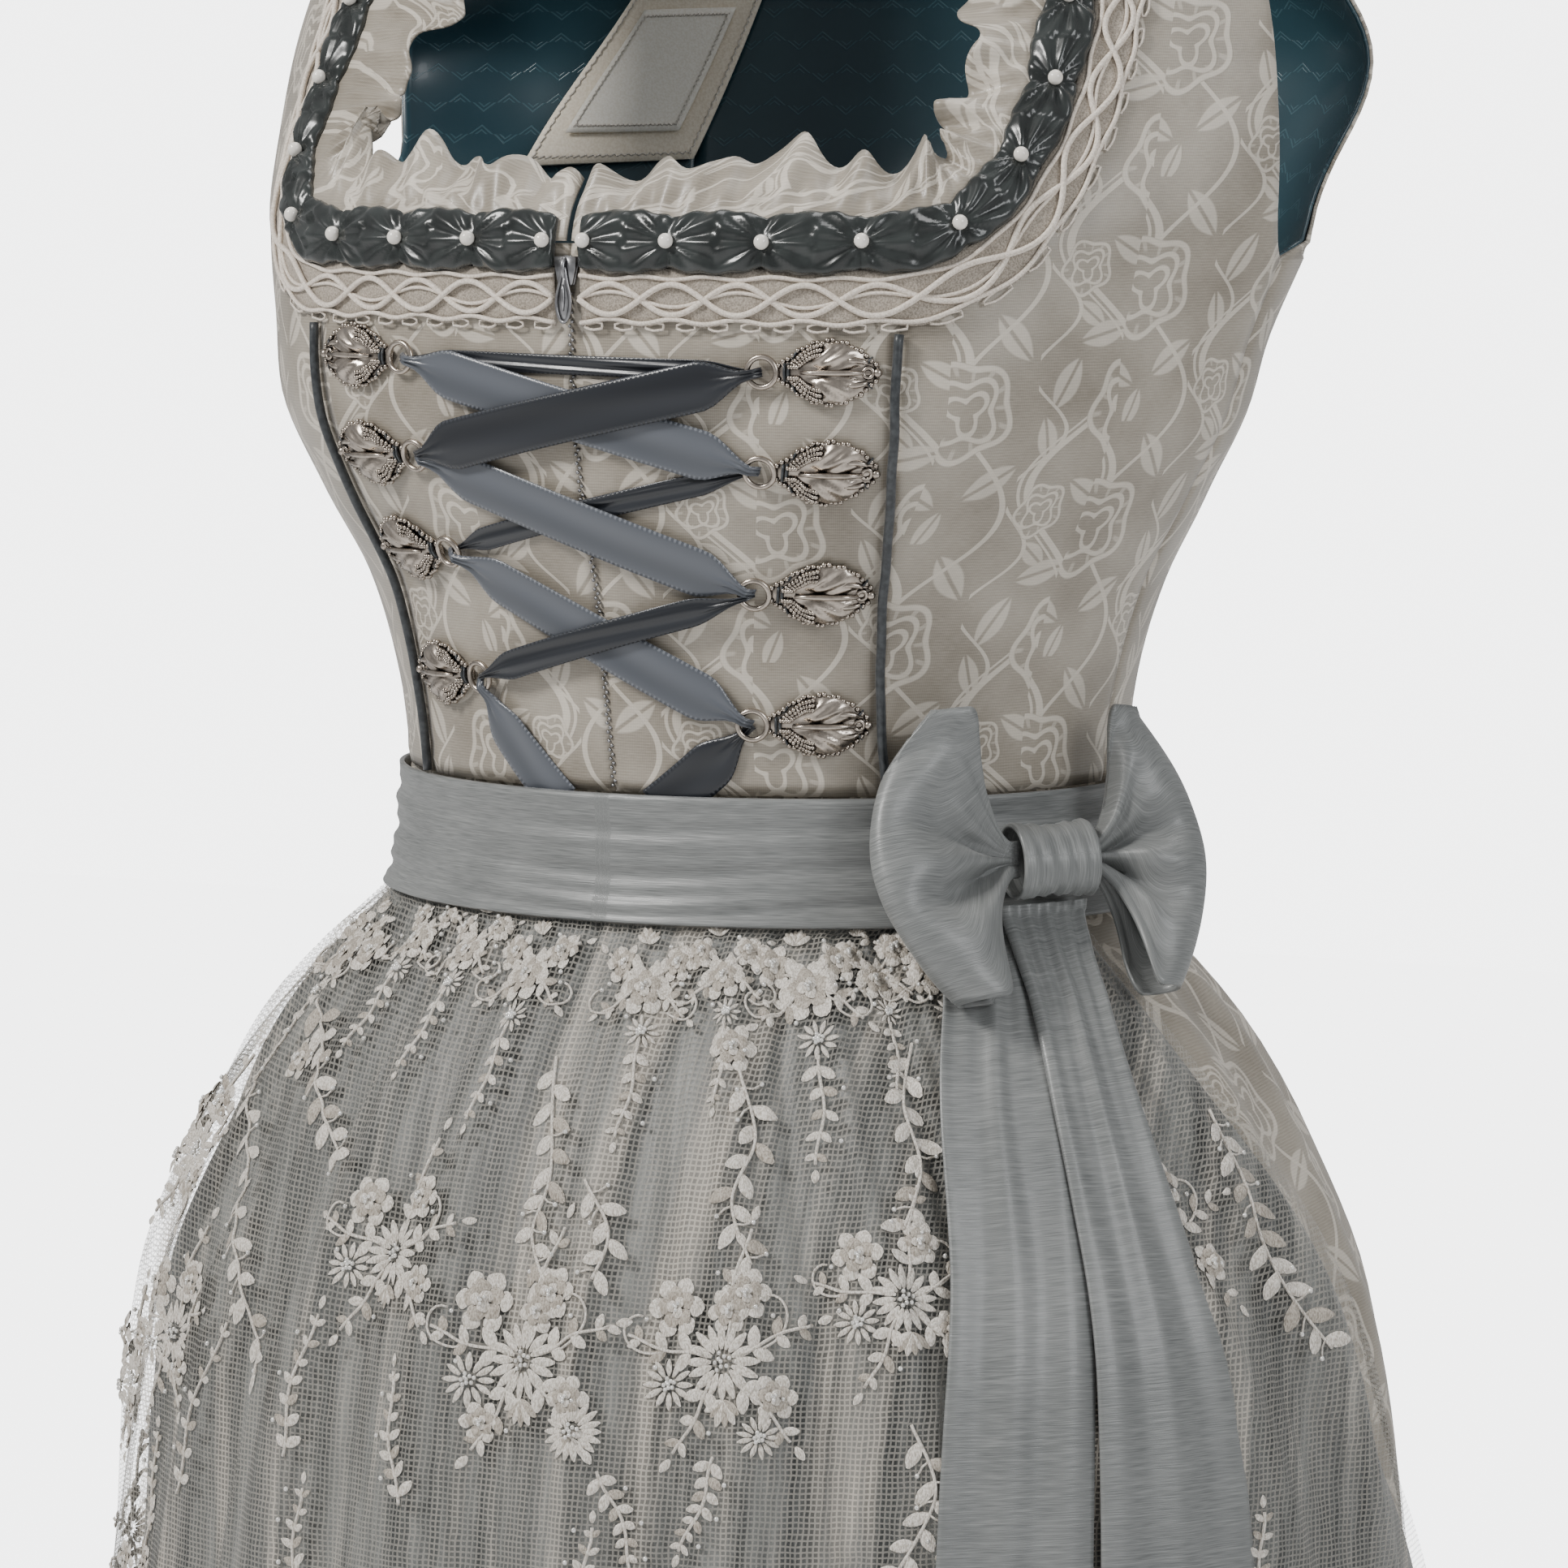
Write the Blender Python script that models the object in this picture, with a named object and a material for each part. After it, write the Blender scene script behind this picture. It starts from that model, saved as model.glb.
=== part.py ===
"""A dirndl, filled out as it is worn: bodice, sash with bow, apron and skirt.

Sizes are in millimetres here and become metres when a mesh is made. A place on the
garment is a pair (height, angle): the height is measured up from the waist, and the
angle goes round the body from the centre front, positive towards the wearer's left (+X).
The wearer faces -Y. The origin is at the top of the shoulders, where the wearer holds
the garment up.
"""
from math import acos, cos, degrees, exp, hypot, pi, radians, sin

import bmesh
import bpy
from mathutils import Vector

MM = 0.001

# Driving sizes
SHOULDER_HEIGHT = 400.0
CAP_START = 300.0
SASH_TOP = 32.0
NECK_FRONT = 202.0
NECK_BACK = 300.0
CLOTH = 1.2
THIN_CLOTH = 1.0
SEAM_HALF = 0.17
SHOULDER_GAP = 0.45
REST_GAP = 0.6

# Body sections: height, half width, depth to the front, depth to the back, shift to the back
SECTIONS = (
    (-650.0, 246.0, 230.0, 236.0, 0.0),
    (-400.0, 222.0, 203.0, 208.0, 0.0),
    (-230.0, 205.0, 180.0, 185.0, 0.0),
    (-140.0, 195.0, 165.0, 168.0, 0.0),
    (-90.0, 176.0, 148.0, 151.0, 0.0),
    (-60.0, 161.0, 134.0, 135.0, 0.0),
    (-37.0, 145.0, 119.0, 119.0, 0.0),
    (-22.0, 132.0, 108.0, 105.0, 0.0),
    (-10.0, 123.0, 100.0, 93.0, 0.0),
    (6.0, 120.0, 98.0, 88.0, 0.0),
    (32.0, 120.0, 101.0, 89.0, 0.0),
    (60.0, 123.0, 106.0, 93.0, 0.0),
    (94.0, 133.0, 112.0, 99.0, 0.0),
    (120.0, 147.0, 120.0, 104.0, 0.0),
    (147.0, 159.0, 125.0, 109.0, 0.0),
    (173.0, 162.0, 127.0, 113.0, 0.0),
    (204.0, 167.0, 127.0, 116.0, 0.0),
    (225.0, 168.0, 118.0, 118.0, 3.0),
    (250.0, 168.0, 96.0, 117.0, 6.0),
    (278.0, 168.0, 75.0, 112.0, 10.0),
    (300.0, 167.0, 62.0, 104.0, 14.0),
    (330.0, 166.0, 62.0, 104.0, 22.0),
    (400.0, 160.0, 62.0, 104.0, 30.0),
)

# Swellings of the surface: size, angle, height, spread round, spread up
BUST = (9.0, 42.0, 158.0, 22.0, 42.0)
UNDERARM_FLARE = (13.0, 93.0, 203.0, 18.0, 42.0)
BACK_ARM_FLARE = (31.0, 113.0, 257.0, 24.0, 41.0)

# Princess seams: height, angle
PRINCESS = ((0.0, 42.5), (40.0, 42.0), (100.0, 39.5), (150.0, 37.0), (202.0, 38.0))

# Front neckline, along the middle of the ruched trim: angle, height
NECK = (
    (0.0, 202.0), (12.0, 202.0), (24.0, 202.0), (33.0, 202.0), (39.0, 203.5), (43.5, 209.0),
    (46.8, 218.5), (48.8, 231.0), (49.5, 247.0), (49.0, 270.0), (47.6, 300.0), (46.8, 330.0),
    (46.2, 365.0), (46.0, 400.0),
)

# Edges of the openings: height, angle
NECK_SIDE = ((202.0, 38.0), (204.0, 40.0), (209.0, 43.5), (218.5, 46.8), (231.0, 48.8),
             (247.0, 49.5), (270.0, 49.0), (300.0, 47.6), (330.0, 46.8), (365.0, 46.2),
             (400.0, 46.0))
ARM_FRONT = ((196.0, 90.0), (201.0, 88.5), (212.0, 87.0), (235.0, 86.0), (278.0, 85.0),
             (400.0, 80.0))
ARM_BACK = ((196.0, 90.0), (199.0, 98.0), (205.0, 104.0), (214.0, 109.0), (230.0, 113.0),
            (278.0, 113.5), (330.0, 108.0), (400.0, 100.0))
NECK_BACK_SIDE = ((312.0, 150.0), (322.0, 145.5), (340.0, 139.0), (365.0, 134.5), (400.0, 132.0))

BACK_SEAM = 150.0
BODICE_HEIGHTS = (6.0, 32.0, 60.0, 84.0, 104.0, 124.0, 147.0, 172.0, 196.0)
STRAP_HEIGHTS = (202.0, 206.0, 211.0, 218.5, 231.0, 247.0, 272.0, 300.0, 322.0, 342.0, 362.0, 382.0,
                 400.0)

# Skirt and apron
SKIRT_HEIGHTS = (5.6, -1.0, -14.0, -34.0, -62.0, -105.0, -180.0, -380.0, -650.0)
APRON_HEIGHTS = (-1.0, -14.0, -34.0, -62.0, -105.0, -180.0, -380.0, -600.0)
APRON_EDGE = ((0.0, 76.0), (-60.0, 80.0), (-141.0, 91.0), (-230.0, 102.0), (-600.0, 112.0))
APRON_GATHERS = 12
SKIRT_FOLDS = 11
SIDE_SEAM = 76.0
BACK_PANEL = 150.0

# Lacing hooks: height on the wearer's right, height on the wearer's left
HOOK_ROWS = ((166.0, 164.0), (136.0, 134.0), (106.0, 96.0), (66.0, 55.0))
HOOK_ANGLE = 22.5
RIBBON_WIDTH = 15.0

COLOURS = {
    "brocade": ((0.50, 0.46, 0.41), 0.5, 0.0),
    "lining": ((0.03, 0.075, 0.105), 0.35, 0.0),
    "satin": ((0.045, 0.055, 0.055), 0.35, 0.0),
    "lace": ((0.74, 0.70, 0.65), 0.8, 0.0),
    "piping": ((0.04, 0.05, 0.06), 0.5, 0.0),
    "silver": ((0.58, 0.55, 0.50), 0.32, 1.0),
    "ribbon_dark": ((0.07, 0.08, 0.09), 0.35, 0.0),
    "ribbon_light": ((0.22, 0.24, 0.27), 0.35, 0.0),
    "taffeta": ((0.21, 0.225, 0.225), 0.5, 0.0),
    "underlayer": ((0.20, 0.205, 0.21), 0.4, 0.0),
    "net": ((0.42, 0.40, 0.375), 0.8, 0.0),
    "canvas": ((0.70, 0.66, 0.58), 0.9, 0.0),
    "zip_metal": ((0.33, 0.33, 0.34), 0.3, 1.0),
}


def remove_all():
    """Empty the scene."""
    for item in list(bpy.data.objects):
        bpy.data.objects.remove(item, do_unlink=True)


def material(name):
    """The named material, made once."""
    found = bpy.data.materials.get(name)
    if found:
        return found
    colour, roughness, metallic = COLOURS[name]
    made = bpy.data.materials.new(name)
    made.use_nodes = True
    shader = made.node_tree.nodes["Principled BSDF"]
    shader.inputs["Base Color"].default_value = (*colour, 1.0)
    shader.inputs["Roughness"].default_value = roughness
    shader.inputs["Metallic"].default_value = metallic
    made.diffuse_color = (*colour, 1.0)
    return made


def slope(low, high, fraction):
    """A smooth step from 0 to 1 as the value goes from low to high."""
    t = min(1.0, max(0.0, (fraction - low) / (high - low)))
    return t * t * (3.0 - 2.0 * t)


def read(table, place, column=1):
    """A smooth curve through the rows of a table whose first column goes up or down."""
    rows = table if table[0][0] < table[-1][0] else tuple(reversed(table))
    last = len(rows) - 1
    if place <= rows[0][0]:
        return rows[0][column]
    if place >= rows[last][0]:
        return rows[last][column]
    k = max(i for i in range(last) if rows[i][0] <= place)

    def tangent(i):
        lo = rows[max(0, i - 1)]
        hi = rows[min(last, i + 1)]
        return (hi[column] - lo[column]) / (hi[0] - lo[0])

    step = rows[k + 1][0] - rows[k][0]
    t = (place - rows[k][0]) / step
    start = (2 * t ** 3 - 3 * t ** 2 + 1) * rows[k][column]
    start += (t ** 3 - 2 * t ** 2 + t) * step * tangent(k)
    end = (3 * t ** 2 - 2 * t ** 3) * rows[k + 1][column]
    end += (t ** 3 - t ** 2) * step * tangent(k + 1)
    return start + end


def swelling(shape, height, angle):
    """A smooth bump on both sides of the body."""
    size, at_angle, at_height, spread_round, spread_up = shape
    round_part = (abs(angle) - at_angle) / spread_round
    up_part = (height - at_height) / spread_up
    return size * exp(-round_part ** 2) * exp(-up_part ** 2)


def wrap_angle(angle):
    """The same angle between -180 and 180 degrees."""
    return (angle + 180.0) % 360.0 - 180.0


def bare_point(height, angle):
    """A point of the body surface, before any layer. Above CAP_START the surface closes
    over the shoulder, and the height counts along that round cap."""
    turn = wrap_angle(angle)
    width, front, back, shift = (read(SECTIONS, height, column) for column in (1, 2, 3, 4))
    level = height
    if height > CAP_START:
        cap = (height - CAP_START) / (SHOULDER_HEIGHT - CAP_START) * pi / 2.0
        level = CAP_START + (SHOULDER_HEIGHT - CAP_START) * sin(cap)
        front *= cos(cap)
        back *= cos(cap)
    a = radians(turn)
    depth = front if abs(turn) < 90.0 else back
    x = width * sin(a)
    y = shift - depth * cos(a)
    bump = swelling(BUST, height, turn) + swelling(UNDERARM_FLARE, height, turn)
    bump += swelling(BACK_ARM_FLARE, height, turn)
    out_x = sin(a) / width
    out_y = -cos(a) / max(depth, 30.0)
    size = hypot(out_x, out_y)
    drop = 0.22 * max(0.0, abs(x) - 100.0) * slope(250.0, 400.0, height)
    z = level - SHOULDER_HEIGHT - drop
    return Vector((x + bump * out_x / size, y + bump * out_y / size, z))


def surface(height, angle, out=0.0):
    """A point moved out of the body surface along its normal."""
    top = min(height + 1.0, SHOULDER_HEIGHT)
    along_up = bare_point(top, angle) - bare_point(top - 2.0, angle)
    if height < top - 1.0 + 1e-6:
        along_up = bare_point(height + 1.0, angle) - bare_point(height - 1.0, angle)
    along_round = bare_point(height, angle + 0.5) - bare_point(height, angle - 0.5)
    normal = along_round.cross(along_up).normalized()
    return bare_point(height, angle) + out * normal


def mm_per_degree(height, angle):
    """How far one degree reaches on the surface."""
    return (bare_point(height, angle + 0.5) - bare_point(height, angle - 0.5)).length


def seam_angle(height):
    """The turn that keeps a cut edge clear of the seam's middle."""
    return degrees(SEAM_HALF / read(SECTIONS, min(height, CAP_START), 2))


def solid(name, outer, inner, look, closed=False):
    """One closed wall between an outer and an inner grid of points, as rows of columns.
    A closed wall goes all round and joins its last column to its first."""
    mesh = bmesh.new()
    grids = []
    for grid in (outer, inner):
        grids.append([[mesh.verts.new(p * MM) for p in row] for row in grid])
    out, back = grids
    rows = len(out)
    columns = len(out[0])
    spans = columns if closed else columns - 1
    for i in range(rows - 1):
        for j in range(spans):
            k = (j + 1) % columns
            mesh.faces.new((out[i][j], out[i][k], out[i + 1][k], out[i + 1][j]))
            mesh.faces.new((back[i][j], back[i + 1][j], back[i + 1][k], back[i][k]))
    for j in range(spans):
        k = (j + 1) % columns
        mesh.faces.new((out[0][k], out[0][j], back[0][j], back[0][k]))
        mesh.faces.new((out[-1][j], out[-1][k], back[-1][k], back[-1][j]))
    if not closed:
        for i in range(rows - 1):
            mesh.faces.new((out[i][0], out[i + 1][0], back[i + 1][0], back[i][0]))
            mesh.faces.new((out[i + 1][-1], out[i][-1], back[i][-1], back[i + 1][-1]))
    return finish(name, mesh, look)


def finish(name, mesh, look):
    """Turn a bmesh in metres into a named object with its material."""
    bmesh.ops.triangulate(mesh, faces=mesh.faces[:])
    bmesh.ops.recalc_face_normals(mesh, faces=mesh.faces[:])
    if mesh.calc_volume(signed=True) < 0.0:
        bmesh.ops.reverse_faces(mesh, faces=mesh.faces[:])
    data = bpy.data.meshes.new(name)
    mesh.to_mesh(data)
    mesh.free()
    data.shade_smooth()
    data.materials.append(material(look))
    made = bpy.data.objects.new(name, data)
    bpy.context.scene.collection.objects.link(made)
    return made


def layer(name, grid, low, high, look, closed=False):
    """A wall on the body surface. The grid holds (height, angle) pairs, and low and high
    say how far its two sides lie out of the surface, as numbers or as functions of the
    row, the column and the pair."""
    def side(rule):
        made = []
        for i, row in enumerate(grid):
            points = []
            for j, (height, angle) in enumerate(row):
                out = rule(i, j, height, angle) if callable(rule) else rule
                points.append(surface(height, angle, out))
            made.append(points)
        return made

    return solid(name, side(high), side(low), look, closed)


def panel(name, heights, left, right, columns, look="brocade", low=-CLOTH, high=0.0,
          top=None):
    """A cloth panel between two edges, given as angle by height. With a top curve, given
    as height by angle, the last row follows that curve."""
    grid = []
    for height in heights:
        start, stop = left(height), right(height)
        row = []
        for j in range(columns + 1):
            angle = start + (stop - start) * j / columns
            here = height
            if top and height == heights[-1]:
                here = top(angle)
            row.append((here, angle))
        grid.append(row)
    return layer(name, grid, low, high, look)


def edge(table, side=1.0, inset=0.0):
    """An edge curve on one side of the body, moved round by the seam's half gap."""
    return lambda height: side * (read(table, height) + inset * seam_angle(height))


def upright(angle, inset=0.0):
    """A seam that runs straight up at one angle."""
    return lambda height: angle + inset * seam_angle(height)


def shoulder_top(angle):
    """Height of a panel's end at the shoulder seam, an even distance from the seam."""
    depth = 62.0 if abs(angle) < 90.0 else 104.0
    share = min(0.9, SHOULDER_GAP / (depth * abs(cos(radians(angle)))))
    return CAP_START + (SHOULDER_HEIGHT - CAP_START) * acos(share) / (pi / 2.0)


def princess_or_neck(height):
    """The inner edge of the side front: the princess seam, then the neckline."""
    return read(PRINCESS, height) if height <= NECK_FRONT else read(NECK_SIDE, height)


def back_top(angle):
    """Height of the back neckline."""
    return NECK_BACK + 12.0 * (abs(abs(angle) - 180.0) / 30.0) ** 2


def make_bodice():
    """The seven brocade panels."""
    front_rows = BODICE_HEIGHTS[:-1] + (190.0, NECK_FRONT)
    strap_rows = BODICE_HEIGHTS + STRAP_HEIGHTS
    back_rows = BODICE_HEIGHTS + (225.0, 255.0, 280.0, NECK_BACK)
    side_back_rows = BODICE_HEIGHTS + (199.0, 205.0, 214.0, 230.0, 255.0, 280.0, 312.0, 322.0,
                                       340.0, 362.0, 382.0, SHOULDER_HEIGHT)
    for side, word in ((1.0, "left"), (-1.0, "right")):
        panel("bodice_front_centre_" + word, front_rows,
              upright(0.0, side), edge(PRINCESS, side, -1.0), 4)

        def inner(height, side=side):
            return side * (princess_or_neck(height) + seam_angle(height))

        panel("bodice_front_side_" + word, strap_rows, inner, edge(ARM_FRONT, side, -1.0), 5,
              top=shoulder_top)

        def back_inner(height, side=side):
            seam = BACK_SEAM - seam_angle(height)
            return side * (seam if height < 312.0 else read(NECK_BACK_SIDE, height))

        panel("bodice_back_side_" + word, side_back_rows,
              edge(ARM_BACK, side, 1.0), back_inner, 5, top=shoulder_top)
    panel("bodice_back_centre", back_rows,
          upright(BACK_SEAM, 1.0), upright(360.0 - BACK_SEAM, -1.0), 6, top=back_top)


def make_lining():
    """The teal lining of the back, in a centre and two sides."""
    rows = BODICE_HEIGHTS + (199.0, 205.0, 214.0, 230.0, 255.0, 280.0, 312.0, 322.0,
                             340.0, 362.0, 382.0, SHOULDER_HEIGHT)
    back_rows = BODICE_HEIGHTS + (225.0, 255.0, 280.0, NECK_BACK)
    low = -2.0 * CLOTH - 0.4
    high = -CLOTH - 0.4
    for side, word in ((1.0, "left"), (-1.0, "right")):
        def inner(height, side=side):
            seam = BACK_SEAM - seam_angle(height)
            return side * (seam if height < 312.0 else read(NECK_BACK_SIDE, height))

        panel("lining_back_side_" + word, rows, edge(ARM_BACK, side, 1.0), inner, 5,
              "lining", low, high, top=shoulder_top)
    panel("lining_back_centre", back_rows, upright(BACK_SEAM, 1.0),
          upright(360.0 - BACK_SEAM, -1.0), 6, "lining", low, high, top=back_top)


def neck_path(count, start_mm):
    """Evenly spaced places along the neckline of one side, from the zip to the shoulder,
    each with the direction across the line: (height, angle, across height, across angle)."""
    fine = 400
    samples = []
    for i in range(fine + 1):
        t = i / fine * (len(NECK) - 1)
        k = min(int(t), len(NECK) - 2)
        f = t - k
        before, a, b, after = (NECK[max(0, min(len(NECK) - 1, n))] for n in (k - 1, k, k + 1, k + 2))
        place = []
        for c in (0, 1):
            bend = 2 * a[c] + (b[c] - before[c]) * f
            bend += (2 * before[c] - 5 * a[c] + 4 * b[c] - after[c]) * f ** 2
            bend += (3 * a[c] - before[c] - 3 * b[c] + after[c]) * f ** 3
            place.append(bend / 2.0)
        samples.append((min(place[1], SHOULDER_HEIGHT), place[0]))
    lengths = [0.0]
    for (h0, a0), (h1, a1) in zip(samples, samples[1:]):
        lengths.append(lengths[-1] + (bare_point(h1, a1) - bare_point(h0, a0)).length)
    path = []
    end = lengths[-1] - 1.5
    for n in range(count + 1):
        want = start_mm + (end - start_mm) * n / count
        k = max(i for i in range(fine) if lengths[i] <= want)
        f = (want - lengths[k]) / (lengths[k + 1] - lengths[k])
        height = samples[k][0] + f * (samples[k + 1][0] - samples[k][0])
        angle = samples[k][1] + f * (samples[k + 1][1] - samples[k][1])
        lo, hi = samples[max(0, k - 6)], samples[min(fine, k + 7)]
        round_scale = mm_per_degree(height, angle)
        along_up = hi[0] - lo[0]
        along_round = (hi[1] - lo[1]) * round_scale
        size = hypot(along_up, along_round)
        path.append((height, angle, along_round / size, -along_up / size / round_scale))
    return path


def neck_band(name, side, count, start_mm, offsets, low, high, look):
    """A band along the neckline. The offsets are millimetres towards the neck opening."""
    path = neck_path(count, start_mm)
    grid = []
    for offset in offsets:
        row = []
        for n, (height, angle, up, turn) in enumerate(path):
            shift = offset(n) if callable(offset) else offset
            at = min(height + shift * up, SHOULDER_HEIGHT)
            row.append((at, side * (angle + shift * turn)))
        grid.append(row)
    return layer(name, grid, low, high, look)


RUFFLE_WAVES = 13
RUFFLE_HEIGHT = 30.0
TRIM_HALF = 9.0
TRIM_REPEATS = 12
TRIM_RISE = 4.2
LACE_WIDTH = 15.0
LACE_SCALLOPS = 17
BAND_START = 4.5


def make_neck_trims():
    """Ruffle, ruched satin and gimp lace along each half of the neckline."""
    trim_rise = (0.35, 1.0, 0.55, 0.3)
    for side, word in ((1.0, "left"), (-1.0, "right")):
        def wave(i, j, height, angle):
            reach = (0.0, 0.0, 1.0)[i]
            beat = 1.0 + 0.35 * sin(1.9 * j)
            return 0.3 + reach * (3.2 * beat * sin(j * pi / 2.0) - 1.5)

        def wave_out(i, j, height, angle):
            return wave(i, j, height, angle) + THIN_CLOTH

        neck_band("neck_ruffle_" + word, side, RUFFLE_WAVES * 4, BAND_START,
                  (0.5, TRIM_HALF + 4.0, lambda n: RUFFLE_HEIGHT * (0.86 + 0.14 * sin(1.3 * n))),
                  wave, wave_out, "brocade")

        def ruche(i, j, height, angle):
            across = (0.3, 1.0, 0.35)[i]
            return 3.2 + TRIM_RISE * across * trim_rise[j % 4]

        def ruche_low(i, j, height, angle):
            return 2.2 if i > 0 else 0.6

        neck_band("neck_trim_" + word, side, TRIM_REPEATS * 4, BAND_START,
                  (-TRIM_HALF, 0.0, TRIM_HALF), ruche_low, ruche, "satin")

        def scallop(n):
            return -TRIM_HALF - LACE_WIDTH - (1.2 if n % 2 else -0.8)

        neck_band("neck_lace_" + word, side, LACE_SCALLOPS * 2, BAND_START,
                  (scallop, -TRIM_HALF - 0.5), 0.85, 1.85, "lace")


def tube(name, centres, radius, look, sides=6):
    """A round cord through a row of points."""
    outer = []
    count = len(centres)
    for n, centre in enumerate(centres):
        ahead = centres[min(count - 1, n + 1)] - centres[max(0, n - 1)]
        ahead.normalize()
        across = ahead.cross(Vector((0.3, -1.0, 0.2))).normalized()
        up = across.cross(ahead)
        outer.append([centre + radius * (cos(2 * pi * k / sides) * across
                                         + sin(2 * pi * k / sides) * up)
                      for k in range(sides)])
    mesh = bmesh.new()
    rings = [[mesh.verts.new(p * MM) for p in ring] for ring in outer]
    for a, b in zip(rings, rings[1:]):
        for k in range(sides):
            m = (k + 1) % sides
            mesh.faces.new((a[k], a[m], b[m], b[k]))
    mesh.faces.new(rings[0])
    mesh.faces.new(list(reversed(rings[-1])))
    return finish(name, mesh, look)


PIPING_RADIUS = 1.5
PIPING_TOP = NECK_FRONT - TRIM_HALF - LACE_WIDTH - 2.6


def make_piping():
    """The dark cord sewn into each princess seam."""
    count = 12
    for side, word in ((1.0, "left"), (-1.0, "right")):
        line = []
        for n in range(count + 1):
            height = SASH_TOP + 1.0 + (PIPING_TOP - SASH_TOP - 1.0) * n / count
            line.append(surface(height, side * read(PRINCESS, height), 0.75 + PIPING_RADIUS))
        tube("piping_" + word, line, PIPING_RADIUS, "piping")


ZIP_TOP = 198.0
SLIDER_HALF = 4.0
SLIDER_RISE = 3.4
PULL_LENGTH = 17.0
PULL_HALF = 2.6


def block(name, corners_low, corners_high, look):
    """A closed body between two outlines with the same number of points."""
    mesh = bmesh.new()
    low = [mesh.verts.new(p * MM) for p in corners_low]
    high = [mesh.verts.new(p * MM) for p in corners_high]
    count = len(low)
    mesh.faces.new(low)
    mesh.faces.new(high)
    for k in range(count):
        m = (k + 1) % count
        mesh.faces.new((low[k], low[m], high[m], high[k]))
    return finish(name, mesh, look)


def make_zip():
    """Tape behind the centre front, slider below the neckline and its hanging pull."""
    grid = []
    for height in (SASH_TOP + 2.0, 60.0, 84.0, 104.0, 124.0, 147.0, 172.0, ZIP_TOP + 2.0):
        grid.append([(height, angle) for angle in (-4.5, 0.0, 4.5)])
    layer("zip_tape", grid, -CLOTH - 1.7, -CLOTH - 0.9, "piping")

    def front(x, height, out):
        return Vector((x, surface(ZIP_TOP - 5.0, 0.0, out).y, height - SHOULDER_HEIGHT))

    slider = ((-SLIDER_HALF, ZIP_TOP), (-SLIDER_HALF * 0.6, ZIP_TOP - 9.0),
              (SLIDER_HALF * 0.6, ZIP_TOP - 9.0), (SLIDER_HALF, ZIP_TOP))
    block("zip_slider", [front(x, h, REST_GAP) for x, h in slider],
          [front(x, h, SLIDER_RISE - 0.7) for x, h in slider], "zip_metal")
    pull = ((-1.3, ZIP_TOP - 3.0), (-PULL_HALF * 0.55, ZIP_TOP - 10.0),
            (-PULL_HALF, ZIP_TOP - 15.0), (-1.2, ZIP_TOP - 3.0 - PULL_LENGTH),
            (1.2, ZIP_TOP - 3.0 - PULL_LENGTH), (PULL_HALF, ZIP_TOP - 15.0),
            (PULL_HALF * 0.55, ZIP_TOP - 10.0), (1.3, ZIP_TOP - 3.0))
    block("zip_pull", [front(x, h, SLIDER_RISE - 0.4) for x, h in pull],
          [front(x, h, SLIDER_RISE + 0.8) for x, h in pull], "zip_metal")


RING_RADIUS = 4.6
RING_WIRE = 0.9
RING_SIDES = 8
RING_LIFT = 2.3


# Hook plate: distance from the ring's centre, half width, thickness at the middle
HOOK_PLATE = ((4.0, 1.6, 1.6), (8.0, 4.4, 2.2), (14.0, 8.2, 3.0), (22.0, 9.6, 3.6),
              (29.5, 6.8, 3.0), (35.5, 1.8, 1.6))


def hook_place(level, side):
    """Height and angle of a hook's ring."""
    return HOOK_ROWS[level][0 if side < 0.0 else 1], side * HOOK_ANGLE


def make_hook(level, side, word):
    """One cast hook, a plate of shell form with its ring."""
    height, angle = hook_place(level, side)
    scale = mm_per_degree(height, angle + side * 9.0)
    outer = []
    inner = []
    for reach, half, thick in HOOK_PLATE:
        high_row = []
        low_row = []
        for across in (-1.0, -0.45, 0.45, 1.0):
            at = height + across * half
            turn = angle + side * reach / scale
            rise = REST_GAP + 0.12 + thick * (1.0 - 0.62 * across * across)
            high_row.append(surface(at, turn, rise))
            low_row.append(surface(at, turn, REST_GAP + 0.12))
        outer.append(high_row)
        inner.append(low_row)
    plate = solid("hook_%s_%d" % (word, level + 1), outer, inner, "silver")
    plate.data.set_sharp_from_angle(angle=radians(50.0))
    centre = surface(height, angle, RING_LIFT)
    normal = (surface(height, angle, 1.0) - surface(height, angle, 0.0)).normalized()
    across = Vector((0.0, 0.0, 1.0)).cross(normal).normalized()
    up = normal.cross(across)
    mesh = bmesh.new()
    rings = []
    for n in range(RING_SIDES):
        a = 2 * pi * n / RING_SIDES
        spoke = cos(a) * across + sin(a) * up
        rings.append([mesh.verts.new((centre + (RING_RADIUS + RING_WIRE * cos(b)) * spoke
                                      + RING_WIRE * sin(b) * normal) * MM)
                      for b in (pi / 4, 3 * pi / 4, 5 * pi / 4, 7 * pi / 4)])
    for n in range(RING_SIDES):
        a, b = rings[n], rings[(n + 1) % RING_SIDES]
        for k in range(4):
            m = (k + 1) % 4
            mesh.faces.new((a[k], a[m], b[m], b[k]))
    ring = finish("ring_guide_%s_%d" % (word, level + 1), mesh, "silver")
    ring.hide_render = True
    ring.display_type = "WIRE"
    union = plate.modifiers.new("ring", "BOOLEAN")
    union.operation = "UNION"
    union.object = ring


LEVELS = (0.7, 2.3, 4.2)
RIBBON_THICK = 0.8
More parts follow.
